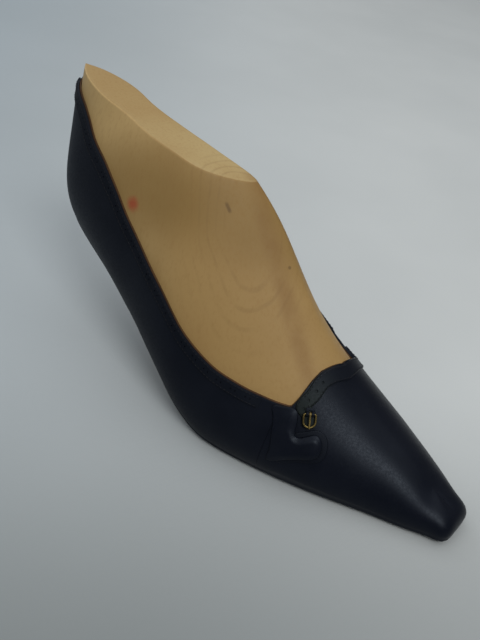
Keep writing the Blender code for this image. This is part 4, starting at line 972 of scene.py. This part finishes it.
def on_tab_plane(flat):
    """The place (s, t) on the wall at distances (toe-ward, up) from the middle of the tab."""
    forward, up = tab_axes()
    move = flat[..., :1] * forward + flat[..., 1:] * up
    s = np.full(move.shape[:-1], TAB_PLACE[0])
    t = np.full(move.shape[:-1], TAB_PLACE[1])
    start = BLOCK.wall(*TAB_PLACE)
    for _ in range(4):
        off = move - (BLOCK.wall(s, t) - start)
        s, t = BLOCK.moved(s, t, off)
    return s, t


def closed_outline(corners, count):
    """Points at even distances on a smooth closed line through the corners."""
    corners = np.array(corners + corners[:1], float)
    chord = run_length(corners)
    across = Curve(chord, corners[:, 0], closed=True)
    up = Curve(chord, corners[:, 1], closed=True)
    where = np.linspace(0, chord[-1], count + 1)
    return np.stack([across(where), up(where)], -1)


def distance_to_line(points, line):
    """Distance from each point to a closed line."""
    return np.linalg.norm(points[..., None, :] - line[:-1], axis=-1).min(-1)


def pad_rings(outline, middle):
    """Rings drawn in from the outline towards its middle, close together at the edge."""
    shares = np.concatenate([1 - np.array(PAD_EDGE_SHARES), np.linspace(0.81, 0.0, 18)])
    return middle + (outline - middle) * shares[:, None, None]


def side_tab(material):
    """The padded tab: thin at its seam, and swelling to a soft pillow towards the toe."""
    outline = closed_outline(TAB_OUTLINE, 160)
    rings = pad_rings(outline, np.array(TAB_MIDDLE))
    border = distance_to_line(rings, outline)
    border[0] = 0
    across = rings[..., 0]
    swell = smooth_step(-11.0, 2.0, across)
    base = LEATHER_OUT + (TAB_BASE - LEATHER_OUT) * smooth_step(-6.0, -1.0, across)
    slope_width = 3.4 + 3.0 * smooth_step(3.0, 8.0, rings[..., 1])
    pillow = smooth_step(-0.6, 1.0, border / slope_width)
    height = TAB_LOW + swell * (TAB_EDGE_RISE + TAB_PILLOW * pillow)
    full = roundness(border, 0.5)
    s, t = on_tab_plane(rings)
    outside = BLOCK.skin(s, t, base + (height - base) * full)
    inside = BLOCK.skin(s, t, base)
    piece = piece_from_grids("side_tab_fine", [outside, inside], material)
    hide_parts("side_tab")


def tab_underlay(material):
    """The flat leather that shows as a margin beyond the tab."""
    outline = closed_outline(UNDERLAY_OUTLINE, 120)
    rings = pad_rings(outline, np.array(UNDERLAY_MIDDLE))
    border = distance_to_line(rings, outline)
    border[0] = 0
    s, t = on_tab_plane(rings)
    grids = sheet_on_wall(s, t, border, UNDERLAY_OUT)
    piece = piece_from_grids("tab_underlay_fine", grids, material)
    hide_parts("tab_underlay")


def from_buckle(points):
    """Places given from the middle of the bar: towards the rim, along the bar, and off the strap."""
    centre = BLOCK.skin(*BUCKLE_PLACE, STRAP_OUT + BAR_HEIGHT)
    out = BLOCK.normal(*BUCKLE_PLACE)
    heading = BLOCK.wall(*BUCKLE_RIM_PLACE) - BLOCK.wall(*BUCKLE_PLACE)
    to_rim = unit(heading - out * (heading @ out))
    return centre + np.asarray(points) @ np.stack([to_rim, np.cross(out, to_rim), out])


def buckle_frame(material):
    """Round wire bent to a D: a straight bar, two round corners and a round rim."""
    half = []
    middle = FRAME_HALF_WIDTH - FRAME_CORNER
    for y in np.linspace(0, middle, 8)[:-1]:
        half.append((0.0, y))
    for angle in np.linspace(0, math.pi / 2, 8):
        half.append((FRAME_CORNER * (1 - math.cos(angle)), middle + FRAME_CORNER * math.sin(angle)))
    for x in np.linspace(FRAME_CORNER, FRAME_STRAIGHT, 6)[1:-1]:
        half.append((x, FRAME_HALF_WIDTH))
    for angle in np.linspace(math.pi / 2, 0, 14):
        reach = (FRAME_LENGTH - FRAME_STRAIGHT) * math.cos(angle)
        half.append((FRAME_STRAIGHT + reach, FRAME_HALF_WIDTH * math.sin(angle)))
    half = np.array(half)
    flat = np.concatenate([half, half[-2:0:-1] * (1, -1)])
    path = np.concatenate([flat, -FRAME_DROP * flat[:, :1] / FRAME_LENGTH], axis=1)
    heading = unit(np.roll(path, -1, axis=0) - np.roll(path, 1, axis=0))
    side = unit(np.cross(heading, np.array([0.0, 0.0, 1.0])))
    over = np.cross(side, heading)
    angles = np.linspace(0, 2 * math.pi, 17)
    rings = np.array([path + WIRE_RADIUS * (side * math.cos(a) + over * math.sin(a)) for a in angles])
    rings = np.concatenate([rings, rings[:, :1]], axis=1)
    piece = piece_from_grids("buckle_frame_fine", [from_buckle(rings)], material)
    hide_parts("buckle_frame")


def bent_strip(path, thickness, half_widths):
    """Rows round a strip with rounded edges, bent along a path of (towards the rim, off the strap)."""
    path = np.array(path)
    heading = unit(np.gradient(path, axis=0))
    out = np.stack([-heading[:, 1], heading[:, 0]], -1)
    rows = []
    for angle in np.linspace(0, 2 * math.pi, 17):
        across, level = math.cos(angle), math.sin(angle)
        across = math.copysign(abs(across) ** 0.5, across)
        level = math.copysign(abs(level) ** 0.5, level)
        flat = path + out * level * thickness / 2
        rows.append(np.stack([flat[:, 0], across * half_widths, flat[:, 1]], -1))
    rows = np.array(rows).transpose(1, 0, 2)
    start = np.repeat(rows[:1].mean(axis=1, keepdims=True), rows.shape[1], axis=1)
    end = np.repeat(rows[-1:].mean(axis=1, keepdims=True), rows.shape[1], axis=1)
    return np.concatenate([start, rows, end])


def buckle_prong(material):
    """The prong hooks round the bar, runs to the rim and ends in a blunt point."""
    hook = [
        (PRONG_HOOK_RADIUS * math.cos(angle), PRONG_HOOK_RADIUS * math.sin(angle))
        for angle in np.radians(np.linspace(*PRONG_HOOK_DEGREES, 28))
    ]
    rim_top = -FRAME_DROP + WIRE_RADIUS + CLEARANCE + PRONG_THICKNESS / 2
    reach = [
        (x, PRONG_HOOK_RADIUS + (rim_top - PRONG_HOOK_RADIUS) * (x / PRONG_LENGTH))
        for x in np.concatenate([np.linspace(0.6, 6.3, 10), [6.6, 6.78, PRONG_LENGTH]])
    ]
    taper = np.ones(len(hook) + len(reach))
    taper[-3:] = (0.92, 0.75, 0.5)
    rows = bent_strip(hook + reach, PRONG_THICKNESS, PRONG_HALF_WIDTH * taper)
    piece = piece_from_grids("buckle_prong_fine", [from_buckle(rows)], material, body="prong")
    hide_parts("buckle_prong")


def buckle_keeper(material):
    """The leather loop that holds the bar down, with a slot for the prong."""
    foot = -BAR_HEIGHT + CLEARANCE + KEEPER_THICKNESS / 2
    arc = [
        (KEEPER_ARC_RADIUS * math.cos(angle), KEEPER_ARC_RADIUS * math.sin(angle))
        for angle in np.radians(np.linspace(*KEEPER_ARC_DEGREES, 20))
    ]
    tail = [(x, foot + rise) for x, rise in KEEPER_TAIL]
    path = tail + arc + [(KEEPER_ARC_RADIUS, foot)]
    rows = bent_strip(path, KEEPER_THICKNESS, np.full(len(path), KEEPER_HALF_WIDTH))
    piece = piece_from_grids("buckle_keeper_fine", [from_buckle(rows)], material)
    corners = [(x, y, z) for x in KEEPER_SLOT[0] for y in KEEPER_SLOT[1] for z in KEEPER_SLOT[2]]
    sides = [(0, 1, 3, 2), (4, 6, 7, 5), (0, 4, 5, 1), (2, 3, 7, 6), (0, 2, 6, 4), (1, 5, 7, 3)]
    cut_holes(piece, cutter_from_faces(from_buckle(corners), sides))
    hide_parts("buckle_keeper")


class Shader:
    """A material whose nodes are added by name of type."""

    def __init__(self, name):
        self.material = bpy.data.materials.new(name)
        self.material.use_nodes = True
        self.tree = self.material.node_tree
        self.surface = self.tree.nodes["Principled BSDF"]

    def add(self, kind, inputs=None, **settings):
        """A node of a type, with its settings, and its inputs set to values or linked to sockets."""
        node = self.tree.nodes.new("ShaderNode" + kind)
        for key, value in settings.items():
            setattr(node, key, value)
        for key, value in (inputs or {}).items():
            self.put(node.inputs[key], value)
        return node

    def put(self, socket, value):
        if isinstance(value, bpy.types.NodeSocket):
            self.tree.links.new(value, socket)
        else:
            socket.default_value = value

    def set_surface(self, **inputs):
        """Set or link inputs of the surface, named with _ for a space."""
        for key, value in inputs.items():
            self.put(self.surface.inputs[key.replace("_", " ")], value)

    def times(self, first, second):
        return self.add("Math", {0: first, 1: second}, operation="MULTIPLY").outputs[0]

    def along(self, vector, start, direction):
        """How far a place lies from a start in a direction."""
        moved = self.add("VectorMath", {0: vector, 1: start}, operation="SUBTRACT").outputs[0]
        return self.add("VectorMath", {0: moved, 1: direction}, operation="DOT_PRODUCT").outputs["Value"]

    def from_point(self, vector, point):
        return self.add("VectorMath", {0: vector, 1: point}, operation="DISTANCE").outputs["Value"]

    def from_line(self, vector, start, end):
        """Distance of a place from the line through two points."""
        direction = tuple(unit(np.array(end) - np.array(start)))
        moved = self.add("VectorMath", {0: vector, 1: start}, operation="SUBTRACT").outputs[0]
        across = self.add("VectorMath", {0: moved, 1: direction}, operation="CROSS_PRODUCT").outputs[0]
        return self.add("VectorMath", {0: across}, operation="LENGTH").outputs["Value"]

    def stirred(self, vector, share, scale):
        """A place moved a little by a noise."""
        noise = self.add("TexNoise", {"Vector": vector, "Scale": scale}).outputs["Color"]
        return self.add("Mix", {0: share, 4: vector, 5: noise}, data_type="VECTOR").outputs[1]

    def step(self, value, low, high, start=0.0, end=1.0):
        """value taken from low..high to start..end, along an S."""
        inputs = {
            "Value": value, "From Min": low, "From Max": high, "To Min": start, "To Max": end}
        return self.add("MapRange", inputs, interpolation_type="SMOOTHSTEP").outputs["Result"]

    def blend(self, share, first, second):
        """first where share is 0, second where it is 1."""
        node = self.add("Mix", data_type="RGBA")
        self.put(node.inputs[0], share)
        self.put(node.inputs[6], first)
        self.put(node.inputs[7], second)
        return node.outputs[2]

    def noise(self, vector, scale, detail, roughness=0.5):
        inputs = {"Vector": vector, "Scale": scale, "Detail": detail, "Roughness": roughness}
        return self.add("TexNoise", inputs).outputs["Fac"]

    def bump(self, height, distance, strength, normal=None):
        inputs = {"Height": height, "Distance": distance, "Strength": strength}
        if normal is not None:
            inputs["Normal"] = normal
        return self.add("Bump", inputs).outputs["Normal"]

    def place(self):
        return self.add("TexCoord").outputs["Object"]

    def stretched(self, vector, scale, rotation=(0, 0, 0)):
        node = self.add("Mapping", {"Vector": vector, "Scale": scale, "Rotation": rotation})
        return node.outputs["Vector"]


def srgb(red, green, blue):
    """A colour given as it shows on a screen, from 0 to 255."""
    values = []
    for channel in (red, green, blue):
        share = channel / 255
        values.append(share / 12.92 if share <= 0.04045 else ((share + 0.055) / 1.055) ** 2.4)
    return (*values, 1.0)


def wood_material():
    """Pale maple: faint nested rings, upright pores, a browner heart and band, a few small marks, and painted
    light and shade on the flank and the sawn top.
    """
    m = Shader("maple")
    place = m.place()
    warp = m.noise(place, 26.0, 2.0)
    cloud = m.noise(place, 38.0, 3.0)
    patches = m.noise(place, 70.0, 2.0)
    grain = m.noise(m.stretched(place, (800.0, 800.0, 60.0)), 1.0, 4.0, 0.6)
    # Painted light and shade: the flank and the sawn top get their own colours, the flank paler towards the
    # heel and the top paler towards the toe, as the light falls on them.
    facing = m.along(m.add("NewGeometry").outputs["Normal"], (0.0, 0.0, 0.0), SAWN_FACE)
    turned = m.step(facing, 0.86, 0.96, 1.0, 0.0)
    forward = m.along(place, (0.0, 0.0, 0.0), (1.0, 0.0, 0.0))
    flank = m.blend(m.step(forward, -0.10, 0.0), srgb(186, 158, 108), srgb(163, 133, 84))
    sawn = m.blend(m.step(forward, -0.11, -0.03), srgb(162, 135, 88), srgb(178, 156, 110))
    colour = m.blend(turned, sawn, flank)
    colour = m.blend(m.step(cloud, 0.35, 0.7, 0.0, 0.3), colour, srgb(154, 122, 74))
    heart = m.times(turned, m.step(m.from_line(place, HEART_START, HEART_END), 0.004, 0.032, 0.8, 0.0))
    colour = m.blend(m.times(heart, m.step(warp, 0.2, 0.7, 0.7, 1.0)), colour, srgb(136, 108, 60))
    from_pith = m.from_line(place, PITH, PITH_TOP)
    wandering = m.add(
        "Math", {0: warp, 1: RING_WANDER, 2: from_pith}, operation="MULTIPLY_ADD").outputs[0]
    rings = m.add("TexWave", {"Vector": wandering, "Scale": RING_SCALE}, wave_type="BANDS",
                  bands_direction="X", wave_profile="SIN").outputs["Fac"]
    ring_share = m.times(m.step(from_pith, 0.008, 0.015), m.step(from_pith, 0.015, 0.036, 0.22, 0.035))
    ring_share = m.times(ring_share, m.step(patches, 0.4, 0.6, 0.15, 1.0))
    colour = m.blend(m.times(ring_share, m.step(rings, 0.72, 1.0)), colour, srgb(118, 90, 52))
    colour = m.blend(m.step(grain, 0.48, 0.72, 0.0, 0.2), colour, srgb(140, 104, 62))
    band = m.step(m.from_line(place, BAND_START, BAND_END), 0.001, 0.007, 0.5, 0.0)
    colour = m.blend(m.times(band, m.step(patches, 0.35, 0.6, 0.5, 1.0)), colour, srgb(130, 96, 52))
    streak = m.times(
        m.step(m.from_line(place, STREAK_MIDDLE, STREAK_END), 0.0003, 0.0013, 0.62, 0.0),
        m.step(m.from_point(place, STREAK_MIDDLE), 0.0014, 0.0034, 1.0, 0.0))
    colour = m.blend(streak, colour, srgb(92, 66, 36))
    dot = m.step(m.from_point(place, DOT), 0.0004, 0.0012, 0.6, 0.0)
    colour = m.blend(dot, colour, srgb(96, 70, 42))
    smear = m.from_point(m.stirred(place, 0.0016, 300.0), SMUDGE)
    colour = m.blend(m.step(smear, 0.0008, 0.0052, 0.85, 0.0), colour, srgb(160, 72, 46))
    m.set_surface(Base_Color=colour, Roughness=m.step(grain, 0.3, 0.7, 0.5, 0.62))
    m.set_surface(Normal=m.bump(grain, 0.00006, 0.25), Specular_IOR_Level=0.3)
    return m.material


def leather_material(name, colour, worn, gloss=0.37, rubbed=None):
    """Smooth calf with fine grain, faint mottling and a soft sheen.

    rubbed is a paler colour and its place.
    """
    m = Shader(name)
    place = m.place()
    cells = m.add("TexVoronoi", {"Vector": place, "Scale": 2600.0}, feature="DISTANCE_TO_EDGE")
    grain = m.step(cells.outputs["Distance"], 0.0, 0.25)
    soft = m.noise(place, 55.0, 4.0)
    fine = m.noise(place, 900.0, 2.0)
    tone = m.blend(m.step(soft, 0.35, 0.7), colour, worn)
    if rubbed is not None:
        tone = m.blend(m.step(m.from_point(place, rubbed[1]), 0.005, 0.024, 1.0, 0.0), tone, rubbed[0])
    polish = m.step(m.along(place, (0.0, 0.0, 0.0), (1.0, 0.0, 0.0)), 0.0, 0.055, 0.2, 0.0)
    roughness = m.step(fine, 0.3, 0.7, gloss - 0.04, gloss + 0.05)
    m.set_surface(Base_Color=tone, Roughness=m.add("Math", {0: roughness, 1: polish}).outputs[0])
    rough = m.bump(soft, 0.0005, 0.15)
    m.set_surface(Normal=m.bump(grain, 0.00003, 0.12, rough))
    m.set_surface(Specular_IOR_Level=0.14, Specular_Tint=(0.72, 0.84, 1.0, 1.0))
    return m.material


def thread_material():
    """Waxed dark thread with its twist."""
    m = Shader("thread")
    place = m.place()
    twist = m.add("TexWave", {"Vector": place, "Scale": 900.0, "Distortion": 1.5},
                  wave_type="BANDS", bands_direction="DIAGONAL").outputs["Fac"]
    m.set_surface(Base_Color=m.blend(twist, srgb(13, 15, 21), srgb(22, 25, 32)))
    m.set_surface(Normal=m.bump(twist, 0.00004, 0.4), Roughness=0.55, Specular_IOR_Level=0.2)
    return m.material


def board_material():
    """Fibre board, speckled and matt."""
    m = Shader("fibre_board")
    place = m.place()
    speckle = m.noise(place, 1400.0, 3.0, 0.7)
    cloud = m.noise(place, 60.0, 3.0)
    colour = m.blend(m.step(speckle, 0.4, 0.65), srgb(170, 140, 104), srgb(130, 100, 70))
    colour = m.blend(m.step(cloud, 0.35, 0.7, 0.0, 0.4), colour, srgb(120, 92, 66))
    m.set_surface(Base_Color=colour, Roughness=m.step(speckle, 0.3, 0.7, 0.75, 0.9))
    m.set_surface(Normal=m.bump(speckle, 0.0002, 0.5))
    return m.material


def metal_material(name, colour, dull, roughness):
    """Brushed metal with duller patches."""
    m = Shader(name)
    place = m.place()
    brushed = m.noise(m.stretched(place, (400.0, 3000.0, 3000.0)), 1.0, 2.0)
    patch = m.noise(place, 180.0, 3.0)
    m.set_surface(
        Base_Color=m.blend(m.step(patch, 0.4, 0.7), colour, dull),
        Roughness=m.step(brushed, 0.3, 0.7, roughness - 0.06, roughness + 0.1),
        Normal=m.bump(brushed, 0.00003, 0.3),
        Metallic=1.0)
    return m.material


def cloth_material():
    """Pale cloth, woven and softly creased, with painted light that makes it brighter to the right and painted
    shade that darkens it towards the viewer.
    """
    m = Shader("pale_cloth")
    place = m.place()
    broad = m.noise(place, 5.0, 3.0)
    fine = m.noise(place, 260.0, 3.0)
    rightward = m.along(place, (0.018, -0.153, 0.0), (0.75, 0.66, 0.0))
    away = m.along(place, (0.018, -0.153, 0.0), (-0.66, 0.75, 0.0))
    # Painted light: the cloth is coloured paler to the right, where the light on it is brighter.
    colour = m.blend(m.step(rightward, -0.22, 0.30), srgb(163, 173, 180), srgb(203, 208, 210))
    # Painted shade: the cloth is coloured darker towards the viewer, at the lower left.
    near = m.times(m.step(away, -0.06, 0.16, 1.0, 0.0), m.step(rightward, 0.02, 0.2, 1.0, 0.72))
    colour = m.blend(near, colour, srgb(125, 131, 133))
    colour = m.blend(m.step(broad, 0.3, 0.7, 0.0, 0.12), colour, srgb(140, 148, 152))
    wavy = m.stirred(place, 0.012, 22.0)
    turned = m.stretched(place, (1, 1, 1), (0, 0, 0.3))
    threads = m.add(
        "TexWave", {"Vector": turned, "Scale": 160.0, "Distortion": 0.6},
        wave_type="BANDS", bands_direction="X").outputs["Fac"]
    normal = m.bump(threads, 0.0001, 0.1, m.bump(broad, 0.006, 0.3))
    for start, end in CREASES:
        ridge = m.step(m.from_line(wavy, start, end), 0.0, CREASE_WIDTH, 1.0, 0.0)
        normal = m.bump(ridge, 0.0012, 0.35, normal)
    m.set_surface(Base_Color=colour, Roughness=m.step(fine, 0.3, 0.7, 0.85, 0.95))
    m.set_surface(Normal=m.bump(fine, 0.0003, 0.25, normal), Specular_IOR_Level=0.1)
    return m.material


def floor(material):
    """A level cloth, under and behind the last."""
    size = 1.6
    count = 120
    line = np.linspace(-size, size, count)
    x, y = np.meshgrid(line, line)
    z = -0.0002 + 0 * x
    mesh = bpy.data.meshes.new("floor")
    points = np.stack([x, y, z], -1).reshape(-1, 3)
    mesh.from_pydata(points.tolist(), [], grid_faces(count, count))
    mesh.materials.append(material)
    mesh.shade_smooth()
    sheet = add_object("floor", mesh)


def camera():
    """The camera, at the place and turn that the values at the top give."""
    yaw, pitch, roll = (math.radians(value) for value in (CAMERA_YAW, CAMERA_PITCH, CAMERA_ROLL))
    ahead = np.array([
        math.cos(yaw) * math.cos(pitch), math.sin(yaw) * math.cos(pitch), -math.sin(pitch)])
    level = unit(np.cross(ahead, np.array([0.0, 0.0, 1.0])))
    upright = np.cross(level, ahead)
    right = math.cos(roll) * level + math.sin(roll) * upright
    up = -math.sin(roll) * level + math.cos(roll) * upright
    place = np.array(CAMERA_TARGET) - CAMERA_ASIDE * right - CAMERA_UP * up - CAMERA_DISTANCE * ahead
    data = bpy.data.cameras.new("camera")
    data.lens = CAMERA_LENS
    data.sensor_width = 36.0
    data.clip_start = 0.01
    data.clip_end = 20.0
    eye = add_object("camera", data)
    matrix = Matrix((right, up, -ahead)).transposed().to_4x4()
    matrix.translation = Vector(in_frame(place))
    eye.matrix_world = matrix
    bpy.context.scene.camera = eye


def area_light(name, place, size, power, colour):
    """A lamp that faces the frame's origin."""
    data = bpy.data.lights.new(name, "AREA")
    data.shape = "RECTANGLE"
    data.size, data.size_y = size
    data.energy = power
    data.color = colour
    lamp = add_object(name, data)
    lamp.location = place
    lamp.rotation_euler = (-Vector(place)).to_track_quat("-Z", "Y").to_euler()


def lights():
    """Soft light from overhead, weaker from the left, from in front and from beyond the toe."""
    for lamp in LAMPS:
        area_light(*lamp)
    world = bpy.data.worlds.new("room")
    bpy.context.scene.world = world
    world.use_nodes = True
    background = world.node_tree.nodes["Background"]
    background.inputs["Color"].default_value = WORLD_COLOUR
    background.inputs["Strength"].default_value = WORLD_STRENGTH


def main():
    """Load the frame, dress it, and set up the floor, the camera and the lamps."""
    bpy.context.scene.view_settings.view_transform = "Standard"
    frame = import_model()
    wood = wood_material()
    navy = leather_material("navy_leather", srgb(13, 16, 25), srgb(17, 20, 29))
    trim = leather_material("trim_leather", srgb(12, 15, 23), srgb(16, 19, 27), gloss=0.46)
    buckle_at = tuple(in_frame(BLOCK.wall(*BUCKLE_PLACE)).tolist())
    grey = leather_material("strap_leather", srgb(15, 18, 26), srgb(19, 22, 29), gloss=0.42,
                            rubbed=(srgb(24, 29, 26), buckle_at))
    tan = leather_material("lining_leather", srgb(84, 60, 38), srgb(66, 46, 30), gloss=0.6)
    thread = thread_material()
    board = board_material()
    steel = metal_material("steel", srgb(176, 178, 180), srgb(120, 122, 122), 0.32)
    gilt = metal_material("gilt", srgb(116, 102, 62), srgb(78, 68, 42), 0.4)
    by_slot = {"board": board, "steel": steel, "gilt": gilt, "trim_leather": trim, "navy_leather": navy,
               "lining_leather": tan, "maple": wood}
    for row in frame["record"]["subparts"]:
        node = frame["nodes"][row["node"]]
        node.data.materials.clear()
        node.data.materials.append(by_slot[row["material_slot"]])

    last_wood(wood)
    lining = (LINING_IN, LINING_OUT, lining_top, 0.0, tan, "lining_leather")
    leather = (LEATHER_IN, LEATHER_OUT, topline, 1.0, navy, "navy_leather")
    for name, node, start, end, layer in (
            ("vamp_lining_fine", "vamp_lining", LINING_SEAM, 2 - LINING_SEAM, lining),
            ("quarter_lining_fine", "quarter_lining", -LINING_SEAM, LINING_SEAM, lining),
            ("vamp_leather", "vamp", SIDE_SEAM, 2 - SIDE_SEAM, leather),
            ("outer_quarter_leather", "quarter_lateral", -SIDE_SEAM, 0.0, leather),
            ("inner_quarter_leather", "quarter_medial", 0.0, SIDE_SEAM, leather)):
        upper_layer(name, start + SEAM_GAP, end - SEAM_GAP, *layer, node)
    collar("outer_collar", -COLLAR_END, -SEAM_GAP, trim, "collar_lateral")
    collar("inner_collar", SEAM_GAP, COLLAR_END, trim, "collar_medial")
    collar_stitches("outer_collar_stitches", -COLLAR_END + STITCH_FROM_END, -STITCH_FROM_END, thread)
    collar_stitches("inner_collar_stitches", STITCH_FROM_END, COLLAR_END - STITCH_FROM_END, thread)
    strap(grey)
    strap_stitches(thread)
    tab_underlay(trim)
    side_tab(navy)
    buckle_frame(gilt)
    buckle_prong(gilt)
    buckle_keeper(trim)

    floor(cloth_material())
    camera()
    lights()


main()
